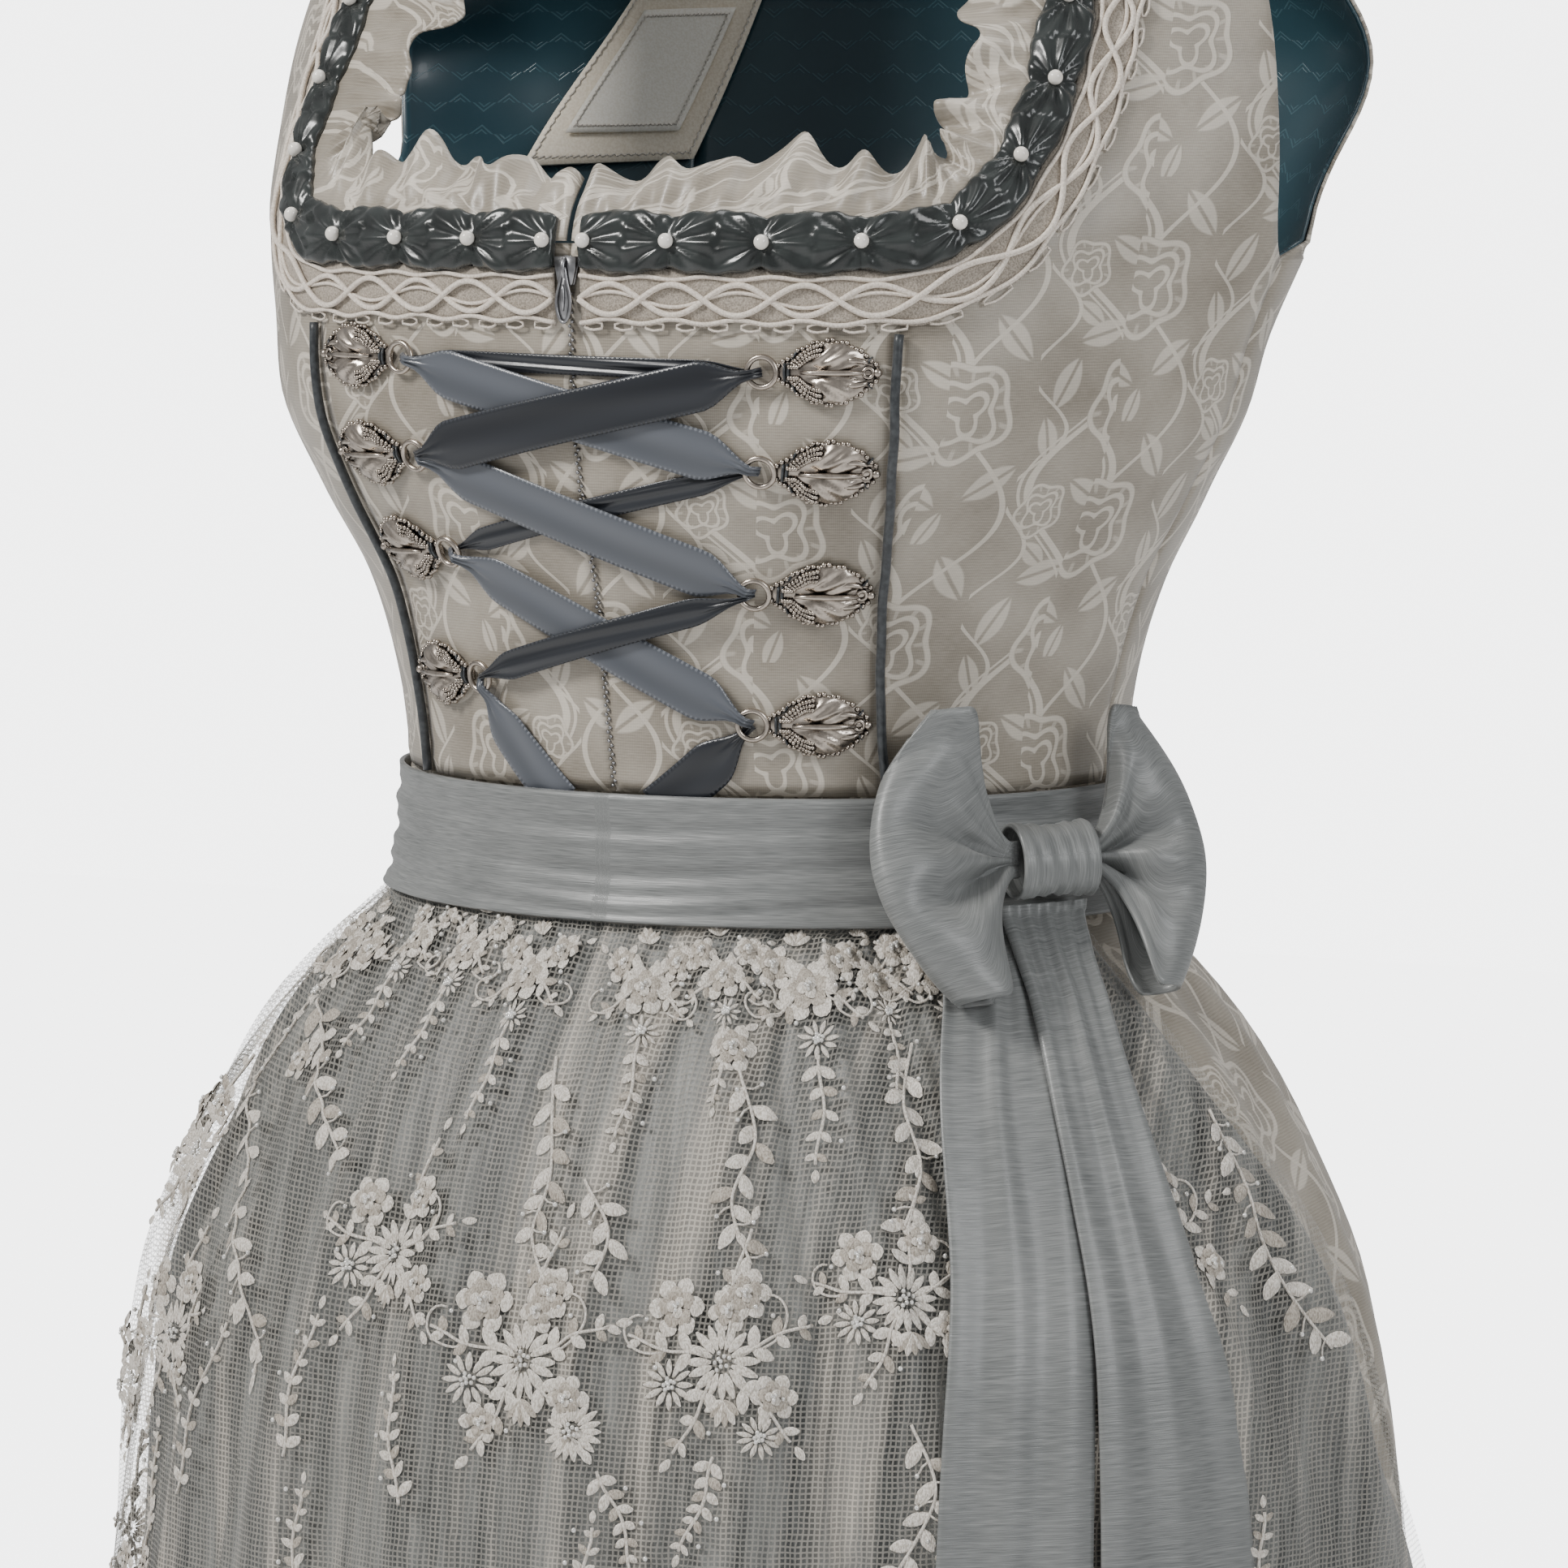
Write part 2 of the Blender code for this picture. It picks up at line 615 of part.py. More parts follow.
# Lacing: name, start (row, side), end (row, side) or (height, angle), layer, width, look
LACING = (
    ("lacing_1_1", (0, -1), (0, 1), 0, 6.0, "ribbon_dark"),
    ("lacing_1_2", (0, -1), (1, 1), 1, 15.0, "ribbon_light"),
    ("lacing_2_1", (0, 1), (1, -1), 2, 15.0, "ribbon_dark"),
    ("lacing_2_3", (1, -1), (2, 1), 1, 15.0, "ribbon_light"),
    ("lacing_3_2", (1, 1), (2, -1), 0, 7.0, "ribbon_dark"),
    ("lacing_3_4", (2, -1), (3, 1), 1, 15.0, "ribbon_light"),
    ("lacing_4_3", (2, 1), (3, -1), 2, 9.0, "ribbon_dark"),
)
# Free ends, tucked behind the sash: name, row, side, then (height, angle) places, layer
FREE_ENDS = (
    ("lacing_end_right", 3, -1, ((44.0, -18.0), (27.0, -9.0)), 1, "ribbon_light"),
    ("lacing_end_left", 3, 1, ((40.0, 15.5), (27.0, 7.0)), 0, "ribbon_dark"),
)


def ribbon(name, places, level, width, look):
    """A flat ribbon along places on the bodice, narrow at the ring and full between."""
    last = len(places) - 1
    grid = []
    for n, (height, angle) in enumerate(places):
        ahead = places[min(last, n + 1)]
        behind = places[max(0, n - 1)]
        scale = mm_per_degree(height, angle)
        up = ahead[0] - behind[0]
        turn = (ahead[1] - behind[1]) * scale
        size = hypot(up, turn)
        t = n / last
        narrow = min(1.0, 0.3 + 3.4 * t)
        if level[1] is not None:
            narrow = min(narrow, 0.3 + 3.4 * (1.0 - t))
        half = width / 2.0 * narrow
        grid.append([(height + s * half * turn / size, angle - s * half * up / size / scale)
                     for s in (-1.0, 0.0, 1.0)])

    def low(i, j, height, angle):
        if level[1] is None:
            return LEVELS[level[0]] + (LEVELS[0] - LEVELS[level[0]]) * slope(0.2, 0.7, i / last)
        return LEVELS[level[0]]

    def high(i, j, height, angle):
        return low(i, j, height, angle) + RIBBON_THICK

    layer(name, grid, low, high, look)


def make_lacing():
    """The stretches of ribbon between the rings, and its two free ends."""
    stand_off = RING_RADIUS + RING_WIRE + 0.5
    for name, start, end, level, width, look in LACING:
        h0, a0 = hook_place(*start)
        h1, a1 = hook_place(*end)
        scale = mm_per_degree((h0 + h1) / 2.0, 0.0)
        length = hypot(h1 - h0, (a1 - a0) * scale)
        cut = stand_off / length
        places = []
        for n in range(8):
            t = cut + (1.0 - 2.0 * cut) * n / 7.0
            places.append((h0 + (h1 - h0) * t, a0 + (a1 - a0) * t))
        ribbon(name, places, (level, level), width, look)
    for name, row, side, route, level, look in FREE_ENDS:
        h0, a0 = hook_place(row, side)
        route = ((h0, a0),) + route
        scale = mm_per_degree(h0, a0)
        cut = stand_off / hypot(route[1][0] - h0, (route[1][1] - a0) * scale)
        places = []
        for n in range(7):
            t = cut * 0.5 + (1.0 - cut * 0.5) * n / 6.0
            p, q, r = route
            places.append(tuple((1 - t) ** 2 * p[c] + 2 * t * (1 - t) * q[c] + t * t * r[c]
                                for c in (0, 1)))
        ribbon(name, places, (level, None), RIBBON_WIDTH, look)


# Fold sizes: height, skirt fold, apron gather of the underlayer, extra gather of the net
FOLD_SIZES = (
    (-600.0, 17.0, 9.0, 3.0),
    (-380.0, 13.0, 7.5, 2.5),
    (-180.0, 9.0, 5.0, 2.5),
    (-105.0, 7.0, 4.0, 2.5),
    (-62.0, 5.5, 3.0, 2.0),
    (-34.0, 3.5, 2.0, 1.2),
    (-14.0, 1.2, 0.8, 0.3),
    (-1.0, 0.2, 0.2, 0.0),
)


def fold_share(angle):
    """How far the skirt's folds have grown at an angle: none under the apron's middle."""
    return slope(66.0, 84.0, abs(wrap_angle(angle)))


def skirt_out(height, angle):
    """How far the skirt's folds stand out of the body surface."""
    turn = abs(wrap_angle(angle))
    span = (360.0 - 2.0 * SIDE_SEAM) / SKIRT_FOLDS
    beat = (turn - SIDE_SEAM) / span
    wave = 0.5 - 0.5 * cos(2.0 * pi * beat)
    uneven = 0.8 + 0.2 * sin(2.3 * beat + (0.8 if wrap_angle(angle) > 0.0 else 0.0))
    return read(FOLD_SIZES, height, 1) * fold_share(angle) * wave * uneven


def gather(column):
    """The apron's gather at a column, 0 in a hollow and up to 1 on a ridge."""
    shape = (0.0, 0.62, 1.0, 0.5)[column % 4]
    return shape * (0.8 + 0.2 * sin(1.7 * (column // 4) + 0.6))


def apron_base(height, angle):
    """The skirt under the apron, with room for its flat facets."""
    return skirt_out(height, angle) + 0.5 * read(FOLD_SIZES, height, 1) * slope(58.0, 74.0, abs(wrap_angle(angle)))


def under_low(i, j, height, angle):
    return apron_base(height, angle) + 0.6 + read(FOLD_SIZES, height, 2) * gather(j)


def under_high(i, j, height, angle):
    return under_low(i, j, height, angle) + THIN_CLOTH


def net_low(i, j, height, angle):
    return under_high(i, j, height, angle) + 0.6 + read(FOLD_SIZES, height, 3) * gather(j)


def net_high(i, j, height, angle):
    return net_low(i, j, height, angle) + THIN_CLOTH


def make_skirt():
    """Front, two sides and back of the skirt."""
    panels = (
        ("skirt_front", -SIDE_SEAM, SIDE_SEAM, 22),
        ("skirt_side_left", SIDE_SEAM, BACK_PANEL, 15),
        ("skirt_back", BACK_PANEL, 360.0 - BACK_PANEL, 14),
        ("skirt_side_right", 360.0 - BACK_PANEL, 360.0 - SIDE_SEAM, 15),
    )
    for name, start, stop, columns in panels:
        panel(name, SKIRT_HEIGHTS, upright(start, 1.0), upright(stop, -1.0), columns,
              low=lambda i, j, h, a: skirt_out(h, a) - CLOTH,
              high=lambda i, j, h, a: skirt_out(h, a))


def make_apron():
    """The plain underlayer and the net over it, with one gather for every four columns."""
    for name, low, high, look in (("apron_underlayer", under_low, under_high, "underlayer"),
                                  ("apron_net", net_low, net_high, "net")):
        panel(name, APRON_HEIGHTS, edge(APRON_EDGE, -1.0), edge(APRON_EDGE),
              APRON_GATHERS * 4, look, low, high)


# Sash: height, distance of its inner side from the body surface
SASH_ROWS = ((32.0, 2.1), (8.0, 4.2), (-10.5, 6.1))
SASH_THICK = 1.6


def make_sash():
    """The taffeta band round the waist."""
    grid = [[(height, 10.0 * n) for n in range(36)] for height, rest in SASH_ROWS]
    layer("sash", grid, lambda i, j, h, a: SASH_ROWS[i][1],
          lambda i, j, h, a: SASH_ROWS[i][1] + SASH_THICK, "taffeta", closed=True)


BOW_ANGLE = 66.0
BOW_FACING = 55.0
BOW_TILT = 20.0
BOW_OUT = 16.4
BOW_HEIGHT = 12.0
BOW_CLOTH = 1.4
KNOT_HALF = 13.2
# Loop section, from the knot along the front to the tip and back: reach, lift
LOOP_PATH = ((12.0, 1.1), (22.0, 5.0), (36.0, 12.0), (50.0, 13.5), (61.0, 9.5), (63.0, 4.0),
             (56.0, -0.5), (42.0, -3.0), (26.0, -3.2), (12.0, -1.4))


def bow_frame():
    """The bow's centre and its directions: along, up and out."""
    face = radians(BOW_FACING)
    tilt = radians(BOW_TILT)
    along = Vector((cos(face), sin(face), 0.0))
    flat_out = Vector((sin(face), -cos(face), 0.0))
    out = cos(tilt) * flat_out + sin(tilt) * Vector((0.0, 0.0, 1.0))
    up = out.cross(along)
    if up.z < 0.0:
        up = -up
    return surface(BOW_HEIGHT, BOW_ANGLE, BOW_OUT), along, up, out


def clear_of_skirt(point, out, least):
    """The point moved outwards until it is the least distance clear of the apron."""
    height = point.z + SHOULDER_HEIGHT
    width, depth = read(SECTIONS, height, 1), read(SECTIONS, height, 2)
    for step in range(60):
        ratio = hypot(point.x / width, point.y / depth)
        if (ratio - 1.0) * depth >= least:
            return point
        point = point + out
    return point


def make_bow():
    """Two loops, the knot round their middle, and two tails."""
    centre, along, up, out = bow_frame()
    for side, word in ((-1.0, "right"), (1.0, "left")):
        middle = []
        for reach, lift in LOOP_PATH:
            open_share = slope(15.0, 46.0, reach)
            half = 5.35 + 39.2 * open_share ** 0.7
            length = 1.0 if side < 0.0 else 1.0 - 0.2 * slope(16.0, 40.0, reach)
            row = []
            for n in range(7):
                s = n / 3.0 - 1.0
                pleat = 2.4 * cos(3.0 * pi * s) * slope(10.0, 24.0, reach) * (1.0 - open_share)
                pull = length * reach * (1.0 - 0.34 * s * s * slope(16.0, 46.0, reach))
                point = centre + side * pull * along + s * half * up + (lift + pleat) * out
                row.append(clear_of_skirt(point, out, 15.0))
            middle.append(row)
        outer = offset_grid(middle, BOW_CLOTH / 2.0)
        inner = offset_grid(middle, -BOW_CLOTH / 2.0)
        solid("bow_loop_" + word, outer, inner, "taffeta")
    outer = []
    inner = []
    for reach in (-KNOT_HALF, -KNOT_HALF * 0.4, KNOT_HALF * 0.4, KNOT_HALF):
        swell = 1.0 + 0.12 * abs(reach) / KNOT_HALF
        rings = []
        for grow in (0.0, -BOW_CLOTH):
            rings.append([centre + reach * along
                          + (10.6 * swell + grow) * sin(2 * pi * k / 12) * up
                          + (8.2 * swell + grow) * cos(2 * pi * k / 12) * out
                          for k in range(12)])
        outer.append(rings[0])
        inner.append(rings[1])
    solid("bow_knot", outer, inner, "taffeta", closed=True)
    make_tails()


def offset_grid(grid, distance):
    """A grid of points moved along the normals of the sheet that they span."""
    moved = []
    rows, columns = len(grid), len(grid[0])
    for i in range(rows):
        line = []
        for j in range(columns):
            down = grid[min(rows - 1, i + 1)][j] - grid[max(0, i - 1)][j]
            side = grid[i][min(columns - 1, j + 1)] - grid[i][max(0, j - 1)]
            line.append(grid[i][j] + distance * down.cross(side).normalized())
        moved.append(line)
    return moved


# Tails: height, middle angle, width, distance from the body surface
TAIL_BACK = ((-4.0, 60.0, 24.0, 8.4), (-14.0, 57.5, 30.0, 9.2), (-34.0, 53.5, 35.0, 10.0),
             (-62.0, 50.0, 38.0, 11.0), (-105.0, 48.5, 41.0, 12.4), (-180.0, 46.0, 45.0, 13.6),
             (-380.0, 44.5, 50.0, 17.0), (-500.0, 44.0, 52.0, 19.5))
TAIL_FRONT = ((-4.0, 66.0, 28.0, 11.6), (-14.0, 65.0, 27.0, 11.9), (-34.0, 62.5, 25.0, 12.4),
              (-62.0, 60.5, 27.0, 13.4), (-105.0, 60.5, 34.0, 14.4), (-180.0, 61.0, 48.0, 15.8),
              (-380.0, 61.5, 60.0, 19.4), (-480.0, 61.5, 64.0, 22.0))


def make_tails():
    """The two tails, each with creases along its length."""
    for name, rows in (("bow_tail_right", TAIL_BACK), ("bow_tail_left", TAIL_FRONT)):
        grid = []
        for height, middle, width, rest in rows:
            scale = mm_per_degree(height, middle)
            grid.append([(height, middle + width / scale * (n / 6.0 - 0.5)) for n in range(7)])

        def low(i, j, height, angle, rows=rows):
            crease = 1.0 * (j % 2) * slope(0.0, -60.0, rows[i][0])
            return rows[i][3] + crease

        def high(i, j, height, angle, low=low):
            return low(i, j, height, angle) + BOW_CLOTH

        layer(name, grid, low, high, "taffeta")


# Label inside the back: height and angle of its corners, left and right, bottom then top
LABEL = (((219.0, -128.0), (223.0, -150.0)), ((286.0, -143.5), (286.0, -159.5)))
LINING_FACE = -2.0 * CLOTH - 0.4


def make_label():
    """A bare canvas label with a smaller bare patch on it."""
    def grid(margin, rows, columns):
        made = []
        for i in range(rows + 1):
            t = margin + (1.0 - 2.0 * margin) * i / rows
            row = []
            for j in range(columns + 1):
                s = margin + (1.0 - 2.0 * margin) * j / columns
                corner = [[LABEL[a][b][c] for c in (0, 1)] for a in (0, 1) for b in (0, 1)]
                row.append(tuple((1 - t) * ((1 - s) * corner[0][c] + s * corner[1][c])
                                 + t * ((1 - s) * corner[2][c] + s * corner[3][c])
                                 for c in (0, 1)))
            made.append(row)
        return made

    layer("label", grid(0.0, 3, 3), LINING_FACE - 3.0, LINING_FACE - 2.1, "canvas")
    layer("label_patch", grid(0.16, 3, 3), LINING_FACE - 4.9, LINING_FACE - 4.0, "canvas")


def main():
    remove_all()
    make_bodice()
    make_lining()
    make_neck_trims()
    make_piping()
    make_zip()
    for level in range(len(HOOK_ROWS)):
        make_hook(level, 1.0, "left")
        make_hook(level, -1.0, "right")
    make_lacing()
    make_skirt()
    make_apron()
    make_sash()
    make_bow()
    make_label()


main()
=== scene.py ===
"""Looks of the dirndl: fine cloth, trims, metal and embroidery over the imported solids."""

import random
from functools import lru_cache
from math import acos, atan2, cos, degrees, exp, hypot, pi, radians, sin

import bmesh
import bpy
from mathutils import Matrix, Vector, noise


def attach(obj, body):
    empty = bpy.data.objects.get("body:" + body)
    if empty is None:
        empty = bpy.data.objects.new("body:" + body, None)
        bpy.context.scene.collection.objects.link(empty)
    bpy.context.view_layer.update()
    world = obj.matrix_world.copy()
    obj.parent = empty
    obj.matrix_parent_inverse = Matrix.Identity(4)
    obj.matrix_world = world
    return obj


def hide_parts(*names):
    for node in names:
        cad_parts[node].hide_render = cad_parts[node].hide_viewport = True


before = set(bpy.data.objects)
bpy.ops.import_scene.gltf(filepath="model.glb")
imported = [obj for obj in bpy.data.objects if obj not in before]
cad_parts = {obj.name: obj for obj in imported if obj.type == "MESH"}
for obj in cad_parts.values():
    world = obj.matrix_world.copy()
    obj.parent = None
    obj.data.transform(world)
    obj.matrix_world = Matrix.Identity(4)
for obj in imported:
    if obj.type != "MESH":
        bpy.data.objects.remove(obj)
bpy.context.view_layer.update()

# Sizes of the CAD part in millimetres, repeated here: a body surface given by height
# and angle. Only the seams are closer than in the CAD, so that no light comes through.
MM = 0.001
SHOULDER_HEIGHT = 400.0
CAP_START = 300.0
SASH_TOP = 32.0
NECK_FRONT = 202.0
NECK_BACK = 300.0
CLOTH = 1.2
THIN_CLOTH = 1.0
SEAM_HALF = 0.03
SHOULDER_GAP = 0.45
SECTIONS = (
    (-650.0, 246.0, 230.0, 236.0, 0.0),
    (-400.0, 222.0, 203.0, 208.0, 0.0),
    (-230.0, 205.0, 180.0, 185.0, 0.0),
    (-140.0, 195.0, 165.0, 168.0, 0.0),
    (-90.0, 176.0, 148.0, 151.0, 0.0),
    (-60.0, 161.0, 134.0, 135.0, 0.0),
    (-37.0, 145.0, 119.0, 119.0, 0.0),
    (-22.0, 132.0, 108.0, 105.0, 0.0),
    (-10.0, 123.0, 100.0, 93.0, 0.0),
    (6.0, 120.0, 98.0, 88.0, 0.0),
    (32.0, 120.0, 101.0, 89.0, 0.0),
    (60.0, 123.0, 106.0, 93.0, 0.0),
    (94.0, 133.0, 112.0, 99.0, 0.0),
    (120.0, 147.0, 120.0, 104.0, 0.0),
    (147.0, 159.0, 125.0, 109.0, 0.0),
    (173.0, 162.0, 127.0, 113.0, 0.0),
    (204.0, 167.0, 127.0, 116.0, 0.0),
    (225.0, 168.0, 118.0, 118.0, 3.0),
    (250.0, 168.0, 96.0, 117.0, 6.0),
    (278.0, 168.0, 75.0, 112.0, 10.0),
    (300.0, 167.0, 62.0, 104.0, 14.0),
    (330.0, 166.0, 62.0, 104.0, 22.0),
    (400.0, 160.0, 62.0, 104.0, 30.0),
)
BUST = (9.0, 42.0, 158.0, 22.0, 42.0)
UNDERARM_FLARE = (13.0, 93.0, 203.0, 18.0, 42.0)
BACK_ARM_FLARE = (31.0, 113.0, 257.0, 24.0, 41.0)
PRINCESS = ((0.0, 42.5), (40.0, 42.0), (100.0, 39.5), (150.0, 37.0), (202.0, 38.0))
NECK = (
    (0.0, 202.0), (12.0, 202.0), (24.0, 202.0), (33.0, 202.0), (39.0, 203.5), (43.5, 209.0),
    (46.8, 218.5), (48.8, 231.0), (49.5, 247.0), (49.0, 270.0), (47.6, 300.0), (46.8, 330.0),
    (46.2, 365.0), (46.0, 400.0),
)
NECK_SIDE = ((202.0, 38.0), (204.0, 40.0)) + tuple((h, a) for a, h in NECK[5:])
ARM_FRONT = ((196.0, 90.0), (201.0, 88.5), (212.0, 87.0), (235.0, 86.0), (278.0, 85.0),
             (400.0, 80.0))
ARM_BACK = ((196.0, 90.0), (199.0, 98.0), (205.0, 104.0), (214.0, 109.0), (230.0, 113.0),
            (278.0, 113.5), (330.0, 108.0), (400.0, 100.0))
NECK_BACK_SIDE = ((312.0, 150.0), (322.0, 145.5), (340.0, 139.0), (365.0, 134.5), (400.0, 132.0))
BACK_SEAM = 150.0
APRON_EDGE = ((0.0, 76.0), (-60.0, 80.0), (-141.0, 91.0), (-230.0, 102.0), (-600.0, 112.0))
APRON_GATHERS = 12
SKIRT_FOLDS = 11
SIDE_SEAM = 76.0
BACK_PANEL = 150.0
HOOK_ROWS = ((166.0, 164.0), (136.0, 134.0), (106.0, 96.0), (66.0, 55.0))
HOOK_ANGLE = 22.5
RIBBON_WIDTH = 15.0
RUFFLE_WAVES = 13
RUFFLE_HEIGHT = 30.0
TRIM_HALF = 9.0
TRIM_REPEATS = 12
LACE_WIDTH = 15.0
LACE_SCALLOPS = 17
BAND_START = 4.5
PIPING_RADIUS = 1.5
PIPING_TOP = NECK_FRONT - TRIM_HALF - LACE_WIDTH - 2.6
ZIP_TOP = 198.0
SLIDER_HALF = 4.0
SLIDER_RISE = 3.4
PULL_LENGTH = 17.0
RING_RADIUS = 4.6
RING_WIRE = 0.9
RING_LIFT = 2.3
LEVELS = (0.7, 2.3, 4.2)
RIBBON_THICK = 0.8
LACING = (
    ("lacing_1_1", (0, -1), (0, 1), 0, 6.0, "ribbon_dark"),
    ("lacing_1_2", (0, -1), (1, 1), 1, 15.0, "ribbon_light"),
    ("lacing_2_1", (0, 1), (1, -1), 2, 15.0, "ribbon_dark"),
    ("lacing_2_3", (1, -1), (2, 1), 1, 15.0, "ribbon_light"),
    ("lacing_3_2", (1, 1), (2, -1), 0, 7.0, "ribbon_dark"),
    ("lacing_3_4", (2, -1), (3, 1), 1, 15.0, "ribbon_light"),
    ("lacing_4_3", (2, 1), (3, -1), 2, 9.0, "ribbon_dark"),
)
FREE_ENDS = (
    ("lacing_end_right", 3, -1, ((44.0, -18.0), (27.0, -9.0)), 1, "ribbon_light"),
    ("lacing_end_left", 3, 1, ((40.0, 15.5), (27.0, 7.0)), 0, "ribbon_dark"),
)
FOLD_SIZES = (
    (-600.0, 17.0, 9.0, 3.0),
    (-380.0, 13.0, 7.5, 2.5),
    (-180.0, 9.0, 5.0, 2.5),
    (-105.0, 7.0, 4.0, 2.5),
    (-62.0, 5.5, 3.0, 2.0),
    (-34.0, 3.5, 2.0, 1.2),
    (-14.0, 1.2, 0.8, 0.3),
    (-1.0, 0.2, 0.2, 0.0),
)
SASH_ROWS = ((32.0, 2.1), (8.0, 4.2), (-10.5, 6.1))
SASH_THICK = 1.6
BOW_ANGLE = 66.0
BOW_FACING = 55.0
BOW_TILT = 20.0
BOW_OUT = 16.4
BOW_HEIGHT = 12.0
BOW_CLOTH = 1.4
KNOT_HALF = 13.2
LOOP_PATH = ((12.0, 1.1), (22.0, 5.0), (36.0, 12.0), (50.0, 13.5), (61.0, 9.5), (63.0, 4.0),
             (56.0, -0.5), (42.0, -3.0), (26.0, -3.2), (12.0, -1.4))
TAIL_BACK = ((-4.0, 60.0, 24.0, 8.4), (-14.0, 57.5, 30.0, 9.2), (-34.0, 53.5, 35.0, 10.0),
             (-62.0, 50.0, 38.0, 11.0), (-105.0, 48.5, 41.0, 12.4), (-180.0, 46.0, 45.0, 13.6),
             (-380.0, 44.5, 50.0, 17.0), (-500.0, 44.0, 52.0, 19.5))
TAIL_FRONT = ((-4.0, 66.0, 28.0, 11.6), (-14.0, 65.0, 27.0, 11.9), (-34.0, 62.5, 25.0, 12.4),
              (-62.0, 60.5, 27.0, 13.4), (-105.0, 60.5, 34.0, 14.4), (-180.0, 61.0, 48.0, 15.8),
              (-380.0, 61.5, 60.0, 19.4), (-480.0, 61.5, 64.0, 22.0))
LABEL = (((219.0, -128.0), (223.0, -150.0)), ((286.0, -143.5), (286.0, -159.5)))
LINING_FACE = -2.0 * CLOTH - 0.4

# Sizes that only the fine pieces use.
NECK_END = 1.5
UV_PER_DEGREE = 2.6
LEAST_CUT = 11.0
LEAST_SHARE = 0.32
WAVE_STEPS = 22
TRIM_STEPS = 24
SCALLOP_STEPS = 14
HOOK_START = 4.0
HOOK_LENGTH = 31.5
HOOK_REST = 0.72
HOOK_PLATE = ((4.0, 1.6, 1.6), (8.0, 4.4, 2.2), (14.0, 8.2, 3.0), (22.0, 9.6, 3.6),
              (29.5, 6.8, 3.0), (35.5, 1.8, 1.6))
LOOP_VALLEYS = {-1.0: ((0.3, 0.15, 8.0), (-0.28, 0.12, 6.6)),
                1.0: ((0.18, 0.13, 7.2), (-0.36, 0.14, 7.4))}
UNDER_TAILS = (((-500.0, 37.5), (-180.0, 40.0), (-60.0, 46.0), (0.0, 54.0)),
               ((-500.0, 69.0), (-180.0, 68.0), (-60.0, 66.0), (0.0, 72.0)))
BODICE_ROWS = (32.0, 60.0, 84.0, 104.0, 124.0, 147.0, 172.0)
SKIRT_ROWS = (-650.0, -500.0, -380.0, -260.0, -180.0, -141.0, -105.0, -62.0, -34.0, -14.0, 4.0,
              30.4)
APRON_ROWS = (-600.0,) + SKIRT_ROWS[1:10] + (-1.0,)


def slope(low, high, fraction):
    """A smooth step from 0 to 1 as the value goes from low to high."""
    t = min(1.0, max(0.0, (fraction - low) / (high - low)))
    return t * t * (3.0 - 2.0 * t)


@lru_cache(maxsize=None)
def read(table, place, column=1):
    """A smooth curve through the rows of a table whose first column goes up or down."""
    rows = table if table[0][0] < table[-1][0] else tuple(reversed(table))
    last = len(rows) - 1
    if place <= rows[0][0]:
        return rows[0][column]
    if place >= rows[last][0]:
        return rows[last][column]
    k = max(i for i in range(last) if rows[i][0] <= place)

    def tangent(i):
        lo = rows[max(0, i - 1)]
        hi = rows[min(last, i + 1)]
        return (hi[column] - lo[column]) / (hi[0] - lo[0])

    step = rows[k + 1][0] - rows[k][0]
    t = (place - rows[k][0]) / step
    start = (2 * t ** 3 - 3 * t ** 2 + 1) * rows[k][column]
    start += (t ** 3 - 2 * t ** 2 + t) * step * tangent(k)
    end = (3 * t ** 2 - 2 * t ** 3) * rows[k + 1][column]
    end += (t ** 3 - t ** 2) * step * tangent(k + 1)
    return start + end


def swelling(shape, height, angle):
    """A smooth bump on both sides of the body."""
    size, at_angle, at_height, spread_round, spread_up = shape
    round_part = (abs(angle) - at_angle) / spread_round
    up_part = (height - at_height) / spread_up
    return size * exp(-round_part ** 2) * exp(-up_part ** 2)


def wrap_angle(angle):
    """The same angle between -180 and 180 degrees."""
    return (angle + 180.0) % 360.0 - 180.0


@lru_cache(maxsize=None)
def bare_point(height, angle):
    """A point of the body surface, before any layer. Above CAP_START the surface closes
    over the shoulder, and the height counts along that round cap."""
    turn = wrap_angle(angle)
    width, front, back, shift = (read(SECTIONS, height, column) for column in (1, 2, 3, 4))
    level = height
    if height > CAP_START:
        cap = (height - CAP_START) / (SHOULDER_HEIGHT - CAP_START) * pi / 2.0
        level = CAP_START + (SHOULDER_HEIGHT - CAP_START) * sin(cap)
        front *= cos(cap)
        back *= cos(cap)
    a = radians(turn)
    depth = front if abs(turn) < 90.0 else back
    x = width * sin(a)
    y = shift - depth * cos(a)
    bump = swelling(BUST, height, turn) + swelling(UNDERARM_FLARE, height, turn)
    bump += swelling(BACK_ARM_FLARE, height, turn)
    out_x = sin(a) / width
    out_y = -cos(a) / max(depth, 30.0)
    size = hypot(out_x, out_y)
    drop = 0.22 * max(0.0, abs(x) - 100.0) * slope(250.0, 400.0, height)
    z = level - SHOULDER_HEIGHT - drop
    return Vector((x + bump * out_x / size, y + bump * out_y / size, z))


@lru_cache(maxsize=None)
def surface_normal(height, angle):
    """The direction straight out of the body surface."""
    top = min(height + 1.0, SHOULDER_HEIGHT)
    along_up = bare_point(top, angle) - bare_point(top - 2.0, angle)
    along_round = bare_point(height, angle + 0.5) - bare_point(height, angle - 0.5)
    return along_round.cross(along_up).normalized()


def surface(height, angle, out=0.0):
    """A point moved out of the body surface along its normal."""
    return bare_point(height, angle) + out * surface_normal(height, angle)


def mm_per_degree(height, angle):
    """How far one degree reaches on the surface."""
    return (bare_point(height, angle + 0.5) - bare_point(height, angle - 0.5)).length


def seam_angle(height):
    """The turn that keeps a cut edge clear of the seam's middle."""
    return degrees(SEAM_HALF / read(SECTIONS, min(height, CAP_START), 2))


